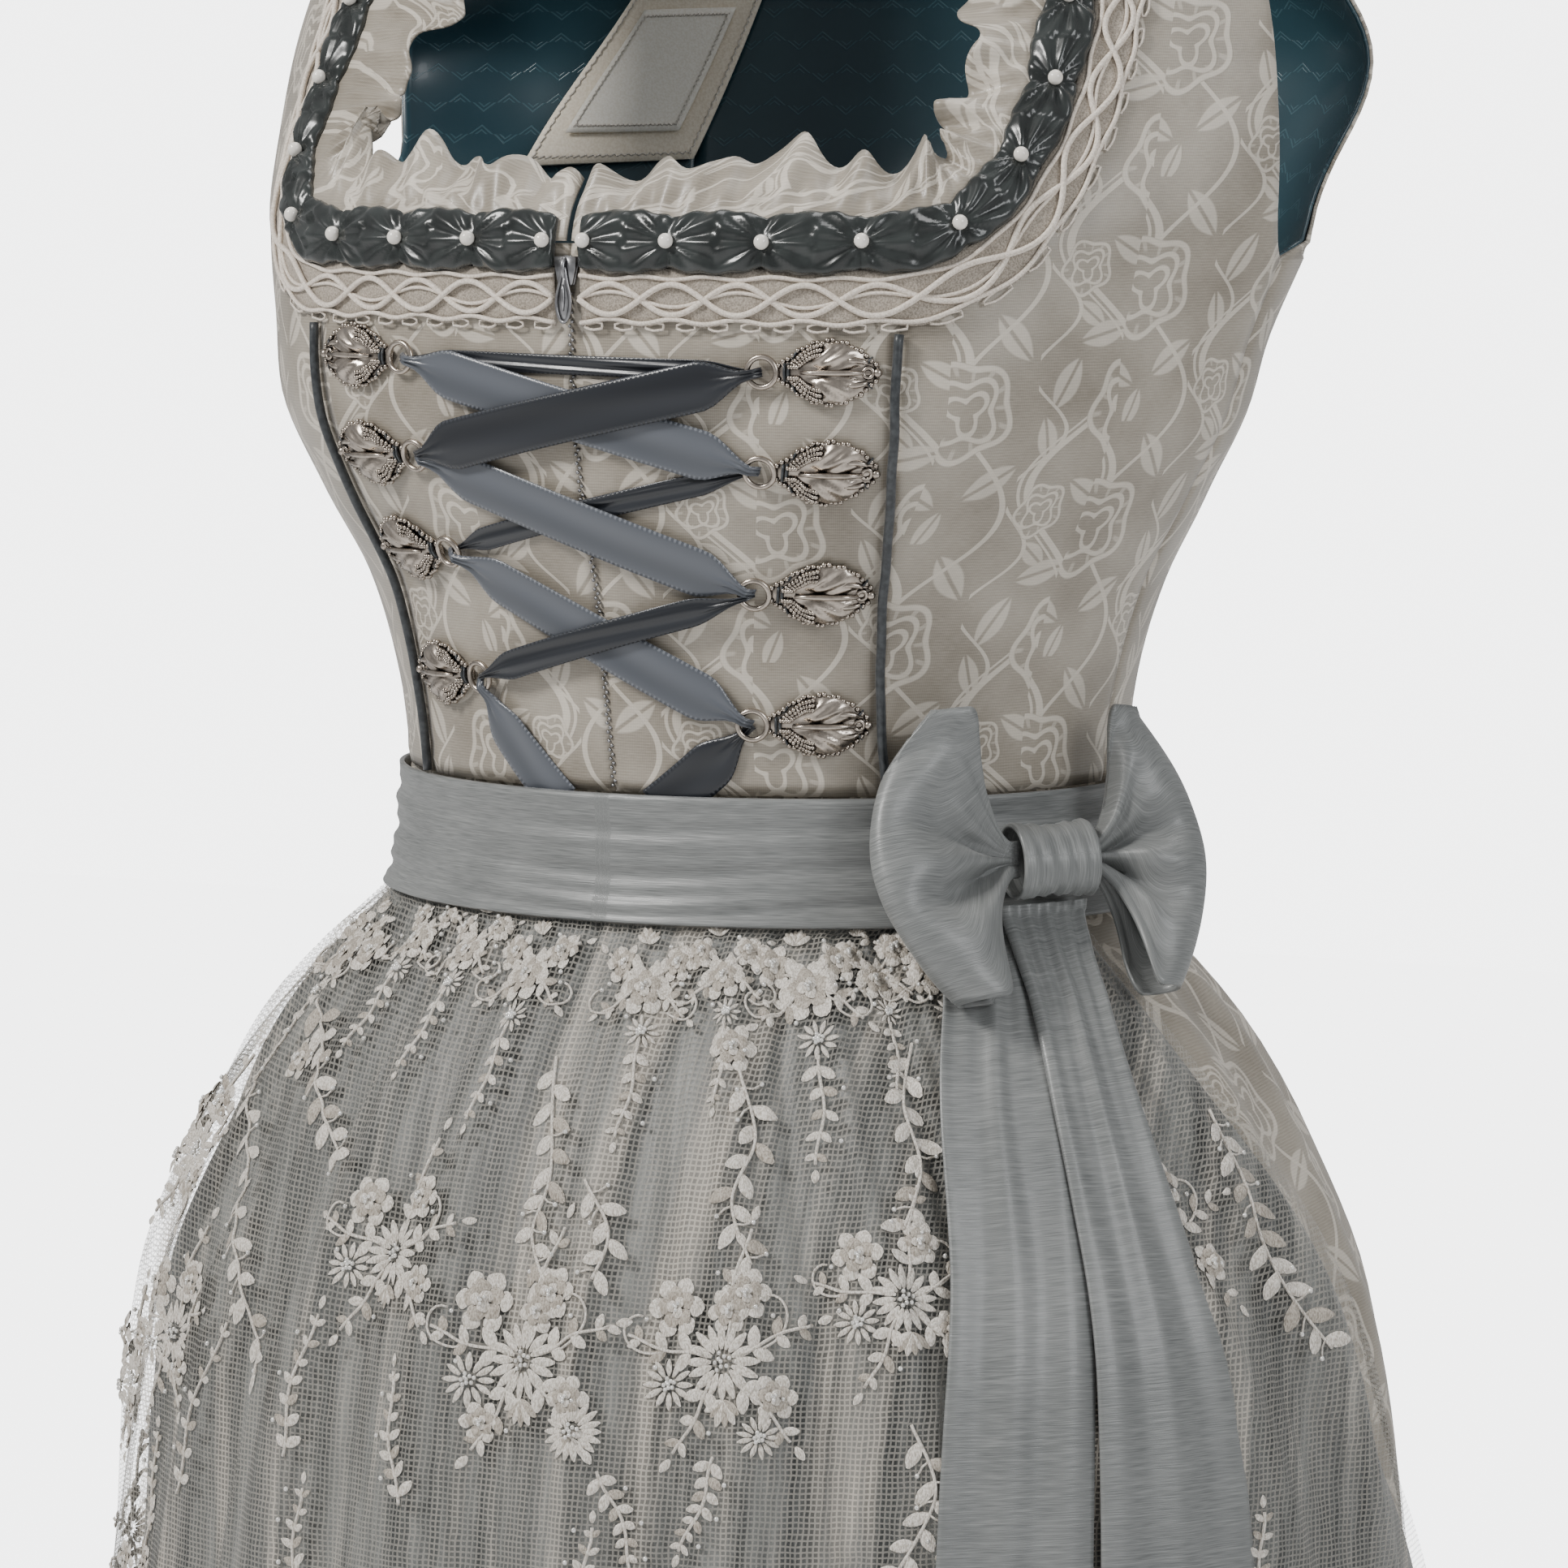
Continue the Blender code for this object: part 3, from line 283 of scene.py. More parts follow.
def edge(table, side=1.0, inset=0.0):
    """An edge curve on one side of the body, moved round by the seam's half gap."""
    return lambda height: side * (read(table, height) + inset * seam_angle(height))


def upright(angle, inset=0.0):
    """A seam that runs straight up at one angle."""
    return lambda height: angle + inset * seam_angle(height)


def shoulder_top(angle):
    """Height of a panel's end at the shoulder seam, an even distance from the seam."""
    depth = 62.0 if abs(angle) < 90.0 else 104.0
    share = min(0.9, SHOULDER_GAP / (depth * abs(cos(radians(angle)))))
    return CAP_START + (SHOULDER_HEIGHT - CAP_START) * acos(share) / (pi / 2.0)


def princess_or_neck(height):
    """The inner edge of the side front: the princess seam, then the neckline."""
    return read(PRINCESS, height) if height <= NECK_FRONT else read(NECK_SIDE, height)


def back_top(angle):
    """Height of the back neckline."""
    return NECK_BACK + 12.0 * (abs(abs(angle) - 180.0) / 30.0) ** 2


def along_table(table, t):
    """A smooth point of a table at t from 0 to 1, over all of its columns."""
    place = t * (len(table) - 1)
    k = min(int(place), len(table) - 2)
    f = place - k
    rows = [table[max(0, min(len(table) - 1, n))] for n in (k - 1, k, k + 1, k + 2)]
    made = []
    for a, b, c, d in zip(*rows):
        bend = 2 * b + (c - a) * f + (2 * a - 5 * b + 4 * c - d) * f ** 2
        made.append((bend + (3 * b - a - 3 * c + d) * f ** 3) / 2.0)
    return made


def runs(points):
    """The length of a line up to each of its points."""
    made = [0.0]
    for a, b in zip(points, points[1:]):
        made.append(made[-1] + (b - a).length)
    return made


def turns(count):
    """Even steps round a circle, in radians."""
    return [2.0 * pi * k / count for k in range(count)]


def neck_path(count, start_mm):
    """Evenly spaced places along the neckline of one side, from the zip to the shoulder,
    each with the direction across the line: (height, angle, across height, across angle)."""
    fine = 400
    samples = []
    for i in range(fine + 1):
        angle, height = along_table(NECK, i / fine)
        samples.append((min(height, SHOULDER_HEIGHT), angle))
    lengths = runs([bare_point(*place) for place in samples])
    path = []
    end = lengths[-1] - NECK_END
    for n in range(count + 1):
        want = start_mm + (end - start_mm) * n / count
        k = max(i for i in range(fine) if lengths[i] <= want)
        f = (want - lengths[k]) / (lengths[k + 1] - lengths[k])
        height, angle = (p + f * (q - p) for p, q in zip(samples[k], samples[k + 1]))
        lo, hi = samples[max(0, k - 6)], samples[min(fine, k + 7)]
        round_scale = mm_per_degree(height, angle)
        along_up = hi[0] - lo[0]
        along_round = (hi[1] - lo[1]) * round_scale
        size = hypot(along_up, along_round)
        path.append((height, angle, along_round / size, -along_up / size / round_scale))
    return path


def hook_place(level, side):
    """Height and angle of a hook's ring."""
    return HOOK_ROWS[level][0 if side < 0.0 else 1], side * HOOK_ANGLE


def fold_share(angle):
    """How far the skirt's folds have grown at an angle: none under the apron's middle."""
    return slope(66.0, 84.0, abs(wrap_angle(angle)))


def skirt_out(height, angle):
    """How far the skirt's folds stand out of the body surface."""
    turn = abs(wrap_angle(angle))
    span = (360.0 - 2.0 * SIDE_SEAM) / SKIRT_FOLDS
    beat = (turn - SIDE_SEAM) / span
    wave = 0.5 - 0.5 * cos(2.0 * pi * beat)
    uneven = 0.8 + 0.2 * sin(2.3 * beat + (0.8 if wrap_angle(angle) > 0.0 else 0.0))
    return read(FOLD_SIZES, height, 1) * fold_share(angle) * wave * uneven


def apron_base(height, angle):
    """The skirt under the apron, with room for its flat facets."""
    room = 0.5 * read(FOLD_SIZES, height, 1) * slope(58.0, 74.0, abs(wrap_angle(angle)))
    return skirt_out(height, angle) + room


def bow_frame():
    """The bow's centre and its directions: along, up and out."""
    face = radians(BOW_FACING)
    tilt = radians(BOW_TILT)
    along = Vector((cos(face), sin(face), 0.0))
    flat_out = Vector((sin(face), -cos(face), 0.0))
    out = cos(tilt) * flat_out + sin(tilt) * Vector((0.0, 0.0, 1.0))
    up = out.cross(along)
    if up.z < 0.0:
        up = -up
    return surface(BOW_HEIGHT, BOW_ANGLE, BOW_OUT), along, up, out


def offset_grid(grid, distance):
    """A grid of points moved along the normals of the sheet that they span."""
    moved = []
    rows, columns = len(grid), len(grid[0])
    for i in range(rows):
        line = []
        for j in range(columns):
            down = grid[min(rows - 1, i + 1)][j] - grid[max(0, i - 1)][j]
            side = grid[i][min(columns - 1, j + 1)] - grid[i][max(0, j - 1)]
            line.append(grid[i][j] + distance * down.cross(side).normalized())
        moved.append(line)
    return moved


def thin_out(values, step):
    """Heights from the first to the last value with at most one step between them."""
    made = [values[0]]
    for a, b in zip(values, values[1:]):
        parts = max(1, int(abs(b - a) / step + 0.99))
        made += [a + (b - a) * k / parts for k in range(1, parts + 1)]
    return made


def crease(point, size, scale, seed):
    """Soft unevenness of cloth, from smooth noise."""
    place = Vector((point.x * scale + seed, point.y * scale, point.z * scale * 0.7))
    return size * noise.noise(place)


def below(high, thick):
    """The inner side of a wall, a cloth's thickness under its outer side."""
    return lambda i, j, height, angle: high(i, j, height, angle) - thick


def make_mesh(name, points, faces, uvs=None, materials=(), face_slots=None, smooth=True):
    """A mesh object in metres, with its UVs given for each vertex."""
    data = bpy.data.meshes.new(name)
    data.from_pydata([tuple(p * MM) for p in points], [], faces)
    if uvs:
        layer = data.uv_layers.new(name="cloth")
        for loop in data.loops:
            layer.data[loop.index].uv = uvs[loop.vertex_index]
    for item in materials:
        data.materials.append(item)
    if face_slots:
        data.polygons.foreach_set("material_index", face_slots)
    if smooth:
        data.shade_smooth()
    made = bpy.data.objects.new(name, data)
    bpy.context.scene.collection.objects.link(made)
    return made


def shell_faces(rows, columns, closed=False):
    """The outer side, inner side and rims of a wall over a grid of points. The points of
    the inner side follow those of the outer side."""
    total = rows * columns
    last = total - columns
    outer, inner, rims = [], [], []
    for j in range(columns if closed else columns - 1):
        k = (j + 1) % columns
        for start in range(0, last, columns):
            a, b = start + j, start + k
            c, d = b + columns, a + columns
            outer.append((a, b, c, d))
            inner.append((total + a, total + d, total + c, total + b))
        rims.append((k, j, total + j, total + k))
        rims.append((last + j, last + k, total + last + k, total + last + j))
    for a in () if closed else range(0, last, columns):
        b, d = a + columns - 1, a + columns
        c = b + columns
        rims.append((a, d, total + d, total + a))
        rims.append((c, b, total + b, total + c))
    return outer, inner, rims


def wall_mesh(name, grid, low, high, outside, inside=None, closed=False, single=False):
    """A cloth wall over a grid of (height, angle) pairs. The UVs are millimetres round and
    up, divided by 1000. A single wall has no thickness."""
    rows, columns = len(grid), len(grid[0])

    def side(rule):
        return [surface(height, angle, rule(i, j, height, angle) if callable(rule) else rule)
                for i, row in enumerate(grid) for j, (height, angle) in enumerate(row)]

    points = side(high)
    uvs = []
    for i, row in enumerate(grid):
        line = runs(points[i * columns:(i + 1) * columns])
        start = row[columns // 2][1] * UV_PER_DEGREE - line[-1] / 2.0
        uvs += [((run + start) * MM, height * MM) for run, (height, angle) in zip(line, row)]
    outer, inner, rims = shell_faces(rows, columns, closed)
    faces = outer
    if not single:
        points += side(low)
        uvs += uvs
        faces = outer + inner + rims
    slots = [0] * len(outer) + [1 if inside else 0] * len(inner) + [0] * len(rims)
    materials = [outside] + ([inside] if inside else [])
    made = make_mesh(name, points, faces, uvs, materials, slots[:len(faces)])
    settle_normals(made)
    return made


def double_wall(name, middle, thick, outside, closed=False, flip=False):
    """A cloth wall on both sides of a grid of points, with UVs along and across it."""
    points = [p for way in (0.5, -0.5) for row in offset_grid(middle, way * thick) for p in row]
    columns = len(middle[0])
    uvs = []
    for down, row in zip(runs([row[columns // 2] for row in middle]), middle):
        for run in runs(row):
            uvs.append((down * MM, run * MM) if flip else (run * MM, down * MM))
    faces = sum(shell_faces(len(middle), columns, closed), [])
    made = make_mesh(name, points, faces, uvs + uvs, [outside])
    settle_normals(made)
    return made


def settle_normals(piece):
    """Turn all faces outwards."""
    mesh = bmesh.new()
    mesh.from_mesh(piece.data)
    bmesh.ops.recalc_face_normals(mesh, faces=mesh.faces[:])
    mesh.to_mesh(piece.data)
    mesh.free()


def join_meshes(name, parts, materials, slots=None):
    """One mesh from many (points, faces) pairs."""
    points, faces, face_slots = [], [], []
    for n, (some_points, some_faces) in enumerate(parts):
        start = len(points)
        points += some_points
        faces += [tuple(start + v for v in face) for face in some_faces]
        face_slots += [slots[n] if slots else 0] * len(some_faces)
    return make_mesh(name, points, faces, None, materials, face_slots)


def tube_mesh(centres, radius, sides=6, closed=False):
    """Points and faces of a round cord. The radius is a number or one for each centre."""
    points, faces = [], []
    count = len(centres)
    for n, centre in enumerate(centres):
        if closed:
            ahead = centres[(n + 1) % count] - centres[n - 1]
        else:
            ahead = centres[min(count - 1, n + 1)] - centres[max(0, n - 1)]
        ahead.normalize()
        side = ahead.cross(Vector((0.31, -0.93, 0.22)))
        if side.length < 0.05:
            side = ahead.cross(Vector((1.0, 0.0, 0.0)))
        side.normalize()
        up = side.cross(ahead)
        r = radius[n] if hasattr(radius, "__len__") else radius
        points += [centre + r * (cos(a) * side + sin(a) * up) for a in turns(sides)]
    for n in range(count if closed else count - 1):
        m = (n + 1) % count
        for k in range(sides):
            q = (k + 1) % sides
            faces.append((n * sides + k, n * sides + q, m * sides + q, m * sides + k))
    if not closed:
        faces.append(tuple(range(sides - 1, -1, -1)))
        faces.append(tuple((count - 1) * sides + k for k in range(sides)))
    return points, faces


def ball_mesh(centre, radius, rings=5, sides=8):
    """Points and faces of a small ball."""
    axis = Vector((0.0, 0.0, 1.0))
    side, up = (Vector((x, 1.0, 0.0)).normalized() for x in (1.0, -1.0))
    points = [centre + radius * axis]
    faces = []
    for r in range(1, rings):
        a = pi * r / rings
        points += [centre + radius * (cos(a) * axis + sin(a) * (cos(b) * side + sin(b) * up))
                   for b in turns(sides)]
    end = len(points)
    points.append(centre - radius * axis)
    for k in range(sides):
        q = (k + 1) % sides
        faces.append((0, 1 + k, 1 + q))
        for r in range(rings - 2):
            a, b = 1 + r * sides + k, 1 + r * sides + q
            faces.append((a, a + sides, b + sides, b))
        faces.append((end, end - sides + q, end - sides + k))
    return points, faces


def dress(piece, slot, *nodes, body="garment"):
    """Attach a piece to the body that it rides on and hide the nodes it stands for. The slot is not
    used.
    """
    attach(piece, body)
    if nodes:
        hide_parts(*nodes)
    return piece


def cut(piece, grid):
    """Measure a cloth piece's flat size along the middle of its two directions and pass it to state.
    """
    width = runs([surface(*place) for place in grid[len(grid) // 2]])[-1]
    length = runs([surface(*row[len(row) // 2]) for row in grid])[-1]
    state(piece, width, length)


def state(piece, width, length):
    """Work out a cloth piece's flat area from its size, with its real area where it isn't a
    rectangle; the result is not kept.
    """
    box = (max(width, LEAST_CUT) * MM, max(length, LEAST_CUT) * MM)
    walls = 1.0 if piece.get("single") else 2.0
    area = sum(p.area for p in piece.data.polygons) / walls
    share = min(1.0, max(LEAST_SHARE, area / (box[0] * box[1])))
    share * box[0] * box[1]


def add_node(tree, kind, inputs, **settings):
    """A shader node with its settings. Its inputs are values, sockets or wires."""
    node = tree.nodes.new("ShaderNode" + kind)
    for name, value in settings.items():
        setattr(node, name, value)
    for key, value in inputs.items():
        source = value.socket if isinstance(value, Wire) else value
        if isinstance(source, bpy.types.NodeSocket):
            tree.links.new(source, node.inputs[key])
        else:
            node.inputs[key].default_value = source
    return node


class Wire:
    """A number in a shader, with ordinary arithmetic."""

    def __init__(self, tree, socket):
        self.tree = tree
        self.socket = socket

    def math(self, operation, *others, clamp=False):
        inputs = dict(enumerate((self,) + others))
        node = add_node(self.tree, "Math", inputs, operation=operation, use_clamp=clamp)
        return Wire(self.tree, node.outputs[0])

    def __add__(self, other):
        return self.math("ADD", other)

    def __sub__(self, other):
        return self.math("SUBTRACT", other)

    def __mul__(self, other):
        return self.math("MULTIPLY", other)

    def __truediv__(self, other):
        return self.math("DIVIDE", other)

    def sine(self):
        return self.math("SINE")

    def size(self):
        return self.math("ABSOLUTE")

    def least(self, other):
        return self.math("MINIMUM", other)

    def most(self, other):
        return self.math("MAXIMUM", other)

    def clamped(self, more=0.0):
        """The value with a little more, kept between 0 and 1."""
        return self.math("ADD", more, clamp=True)

    def folded(self, span):
        """The value wrapped to between minus half and half of the span."""
        return self.math("WRAP", span / 2.0, -span / 2.0)

    def rises(self, low, high):
        """From 0 at low to 1 at high, or the other way round when low is the greater."""
        ends = {3: 0.0, 4: 1.0} if low < high else {3: 1.0, 4: 0.0}
        inputs = {0: self, 1: min(low, high), 2: max(low, high), **ends}
        node = add_node(self.tree, "MapRange", inputs, interpolation_type="SMOOTHSTEP")
        return Wire(self.tree, node.outputs[0])


class Look:
    """A Principled material being built."""

    def __init__(self, name, color, roughness=0.6, metallic=0.0, sheen=0.0, coat=0.0):
        self.item = bpy.data.materials.new(name)
        self.item.use_nodes = True
        self.item.diffuse_color = (*color, 1.0)
        self.tree = self.item.node_tree
        self.shader = self.tree.nodes["Principled BSDF"]
        for key, value in (("Base Color", (*color, 1.0)), ("Roughness", roughness),
                           ("Metallic", metallic), ("Sheen Weight", sheen),
                           ("Sheen Roughness", 0.4), ("Coat Weight", coat)):
            self.shader.inputs[key].default_value = value

    def add(self, kind, inputs=None, **settings):
        return add_node(self.tree, kind, inputs or {}, **settings)

    def feed(self, name, wire):
        self.tree.links.new(wire.socket if isinstance(wire, Wire) else wire,
                            self.shader.inputs[name])

    def cloth_mm(self):
        """Millimetres round and up the cloth, from the UVs."""
        split = self.add("SeparateXYZ", {0: self.add("UVMap").outputs[0]})
        return [Wire(self.tree, split.outputs[n]) * 1000.0 for n in (0, 1)]

    def place_mm(self, uv=False):
        """A vector in millimetres: of the object, or of the cloth."""
        source = self.add("UVMap").outputs[0] if uv else self.add("TexCoord").outputs["Object"]
        return self.add("VectorMath", {0: source, 3: 1000.0}, operation="SCALE").outputs[0]

    def noise(self, vector, scale, detail=2.0, roughness=0.5, stretch=None):
        """Smooth noise, over a vector that may be stretched first."""
        if stretch:
            vector = self.add("VectorMath", {0: vector, 1: stretch}, operation="MULTIPLY").outputs[0]
        node = self.add("TexNoise", {"Vector": vector, "Scale": scale, "Detail": detail,
                                     "Roughness": roughness})
        return Wire(self.tree, node.outputs["Fac"])

    def colours(self, wire, first, second):
        """The base colour, between two."""
        node = self.add("Mix", {}, data_type="RGBA")
        node.inputs[6].default_value = (*first, 1.0)
        node.inputs[7].default_value = (*second, 1.0)
        self.tree.links.new(wire.socket, node.inputs[0])
        self.feed("Base Color", node.outputs[2])

    def bump(self, wire, mm, strength=1.0):
        self.feed("Normal", self.add("Bump", {"Distance": mm * MM, "Strength": strength,
                                              "Height": wire}).outputs[0])


def leaf(x, y, at_x, at_y, turn, long, wide):
    """1 inside a pointed leaf, with its middle vein left out."""
    c, s = cos(radians(turn)), sin(radians(turn))
    across = x - at_x
    up = y - at_y
    along = across * (c / long) + up * (s / long)
    side = across * (-s / wide) + up * (c / wide)
    inside = along * along + side.size()
    return inside.rises(1.0, 0.8) * side.size().rises(0.06, 0.2)


def rose_mask(x, y, at_x, at_y, size):
    """Outlines of petals round one place, 1 on the light threads, and the rose's inside."""
    across = x - at_x
    up = y - at_y
    far = (across * across + up * up).math("SQRT")
    turn = up.math("ARCTAN2", across)
    edge_far = far + (turn * 5.0 + 0.6).sine() * (size * 0.09)
    inside = edge_far.rises(size, size * 0.96)
    lines = inside * edge_far.rises(size * 0.83, size * 0.88)
    for share, petals, shift in ((0.62, 4.0, 1.3), (0.34, 3.0, 2.6)):
        ring = far + (turn * petals + shift).sine() * (size * 0.13) - size * share
        lines = lines.most(ring.size().rises(size * 0.075, size * 0.045))
    rays = (turn * 14.0).sine().rises(0.55, 0.9) * edge_far.rises(size * 0.62, size * 0.72) * inside
    return lines.most(rays * 0.55), inside


def make_brocade():
    """Greige jacquard with roses, scrolls and leaves in lighter satin."""
    look = Look("rose_brocade", (0.46, 0.41, 0.355), 0.42, sheen=0.15, coat=0.04)
    u, v = look.cloth_mm()
    tile_x, tile_y = 58.0, 74.0
    odd = (u / tile_x).math("FLOOR").math("MODULO", 2.0).size()
    x = u.folded(tile_x)
    y = (v + odd * (tile_y / 2.0)).folded(tile_y)
    light, inside = rose_mask(x, y, 6.0, 4.0, 15.5)
    small, small_inside = rose_mask(x, y, -17.0, -27.0, 8.5)
    free = inside.most(small_inside) * -1.0 + 1.0
    bend = x - (y * (2.0 * pi / tile_y)).sine() * 15.0 + 9.0
    vine = bend.size().rises(1.7, 1.2)
    echo = (bend + 3.4).size().rises(0.75, 0.45)
    second = (x + (y * (2.0 * pi / tile_y) + 0.9).sine() * 13.0 - 15.0).size().rises(1.2, 0.8)
    third = (x - (y * (4.0 * pi / tile_y) + 2.1).sine() * 7.0 + 24.0).size().rises(0.9, 0.6)
    light = light.most(small).most(vine.most(echo).most(second).most(third) * free)
    for place in ((-19.0, 12.0, 62.0, 9.5, 4.4), (-7.0, 27.0, 15.0, 9.5, 4.2),
                  (20.0, 26.0, -48.0, 10.0, 4.6), (20.0, -18.0, 35.0, 9.5, 4.4),
                  (-2.0, -22.0, -28.0, 9.0, 4.0), (-23.0, -5.0, -70.0, 8.0, 3.6),
                  (6.0, -33.0, 70.0, 7.0, 3.2), (-13.0, 33.0, -35.0, 7.0, 3.2)):
        light = light.most(leaf(x, y, *place) * free * 0.85)
    place = look.place_mm(uv=True)
    cloudy = look.noise(place, 0.03, 3.0)
    weave = look.noise(place, 1.0, 1.0, stretch=(0.35, 4.0, 1.0))
    threads = (v * (2.0 * pi / 0.9)).sine() * 0.05 + (u * (2.0 * pi / 0.62)).sine() * 0.04
    tone = light * 0.5 + (cloudy - 0.5) * 0.7 + (weave - 0.5) * 0.3 + threads
    look.colours(tone.clamped(0.24), (0.17, 0.145, 0.11), (0.66, 0.605, 0.52))
    look.feed("Roughness", light * 0.12 + weave * 0.1 + 0.33)
    look.bump(light * 0.7 + weave * 0.3, 0.3, 0.5)
    return look.item


def make_lining_look():
    """Dark teal satin with rows of small rhombi."""
    look = Look("figured_lining", (0.012, 0.042, 0.058), 0.34, sheen=0.08, coat=0.08)
    u, v = look.cloth_mm()
    wide, high = 17.0, 11.0
    odd = (v / high).math("FLOOR").math("MODULO", 2.0).size()
    ring = (u + odd * (wide / 2.0)).folded(wide).size() * 0.8 + v.folded(high).size()
    lines = (ring - 3.0).size().rises(0.42, 0.2).most((ring - 1.5).size().rises(0.36, 0.18))
    tone = lines * 0.42 + (look.noise(look.place_mm(), 0.016) - 0.5) * 0.7
    look.colours(tone.clamped(0.16), (0.008, 0.030, 0.043), (0.05, 0.115, 0.14))
    look.bump(lines, 0.12, 0.4)
    return look.item


def make_plain(name, color, second, roughness, stretch=None, scale=0.5, detail=2.0,
               bump=0.2, sheen=0.2, coat=0.0, strength=0.5, metallic=0.0):
    """A plain cloth or metal with soft unevenness."""
    look = Look(name, color, roughness, metallic, sheen, coat)
    uneven = look.noise(look.place_mm(), scale, detail, stretch=stretch)
    look.colours(uneven.rises(0.3, 0.7), color, second)
    look.bump(uneven, bump, strength)
    return look.item


def make_taffeta():
    """Grey taffeta with slubs that run across the cloth."""
    look = Look("slubbed_taffeta", (0.21, 0.225, 0.222), 0.38, sheen=0.15, coat=0.05)
    place = look.place_mm(uv=True)
    slub = look.noise(place, 1.0, 3.0, 0.6, stretch=(0.03, 1.3, 1.0))
    fine = look.noise(place, 1.0, 1.0, stretch=(0.12, 3.2, 1.0))
    soft = look.noise(place, 0.03)
    tone = slub.rises(0.45, 0.75) * 0.3 + (fine - 0.5) * 1.1 + (soft - 0.5) * 0.5
    look.colours(tone.clamped(0.38), (0.095, 0.101, 0.10), (0.285, 0.292, 0.286))
    look.feed("Roughness", slub * 0.25 + 0.27)
    look.bump(slub * 0.7 + fine * 0.3, 0.35, 0.5)
    return look.item


def make_net_look():
    """Tulle: a fine greige grid that shows what is behind it, denser where it is folded, with
    painted light and shade on its gathers.
    """
    look = Look("tulle", (0.42, 0.39, 0.34), 0.7, sheen=0.2)
    u, v = look.cloth_mm()
    mesh = 1.7
    place = look.place_mm(uv=True)
    wander = look.noise(place, 0.12, 1.0) - 0.5
    across = (u + wander * 1.6).folded(mesh).size()
    down = (v + wander * 1.2).folded(mesh).size()
    line = across.least(down).rises(0.36, 0.2)
    # The fold streaks make the net denser and paint light on its gathers; the fine streaks paint
    # light and shade along them.
    fold = look.noise(place, 1.0, 3.0, 0.6, stretch=(0.055, 0.0045, 1.0)).rises(0.5, 0.68)
    fine = look.noise(place, 1.0, stretch=(0.3, 0.02, 1.0)).rises(0.35, 0.65)
    look.colours(fold * 0.65 + fine * 0.35, (0.27, 0.26, 0.235), (0.55, 0.50, 0.43))
    look.feed("Alpha", (line * 0.50 + fold * 0.32 + 0.02).clamped())
    return look.item


def make_underlayer_look():
    """Grey silk with upright creases, with painted shade in their hollows and light on their ridges.
    """
    look = Look("crinkled_silk", (0.20, 0.205, 0.21), 0.5, sheen=0.2)
    place = look.place_mm(uv=True)
    crinkle = look.noise(place, 1.0, 4.0, 0.6, stretch=(0.32, 0.03, 1.0))
    fold_and_shade = look.noise(place, 1.0, 3.0, 0.55, stretch=(0.075, 0.006, 1.0))
    # The crinkle and fold streaks paint the shade and light of the creases into the colour, and also
    # raise the bump.
    tone = crinkle.rises(0.35, 0.68) * 0.3 + fold_and_shade.rises(0.36, 0.7) * 0.62
    look.colours(tone.clamped(), (0.032, 0.036, 0.036), (0.30, 0.305, 0.29))
    look.bump(crinkle * 0.5 + fold_and_shade, 1.6, 0.6)
    return look.item


def make_ribbon_look(name, dark, light):
    """Satin ribbon with a stitched edge on both sides. U runs across it."""
    look = Look(name, light, 0.3, sheen=0.1, coat=0.1)
    u, v = look.cloth_mm()
    ribs = (u * (2.0 * pi / 0.8)).sine() * 0.5 + 0.5
    rim = u.size().rises(0.42, 0.47)
    stitch = (v * (2.0 * pi / 1.6)).sine().rises(-0.2, 0.4)
    look.colours((ribs * 0.3 + rim * stitch * 0.8).clamped(0.05), dark, light)
    look.bump(rim * stitch, 0.25, 0.6)
    return look.item


def make_silver(name, color, dark, roughness):
    """Antique silver, dark in its hollows."""
    look = Look(name, color, roughness, metallic=1.0)
    uneven = look.noise(look.place_mm(), 0.45, 3.0)
    hollow = look.add("AmbientOcclusion", {"Distance": 1.6 * MM}, samples=6)
    shade = Wire(look.tree, hollow.outputs["AO"]).rises(0.25, 0.85)
    look.colours(shade * (uneven.rises(0.25, 0.65) * 0.35 + 0.65), dark, color)
    look.bump(uneven, 0.12, 0.4)
    return look.item


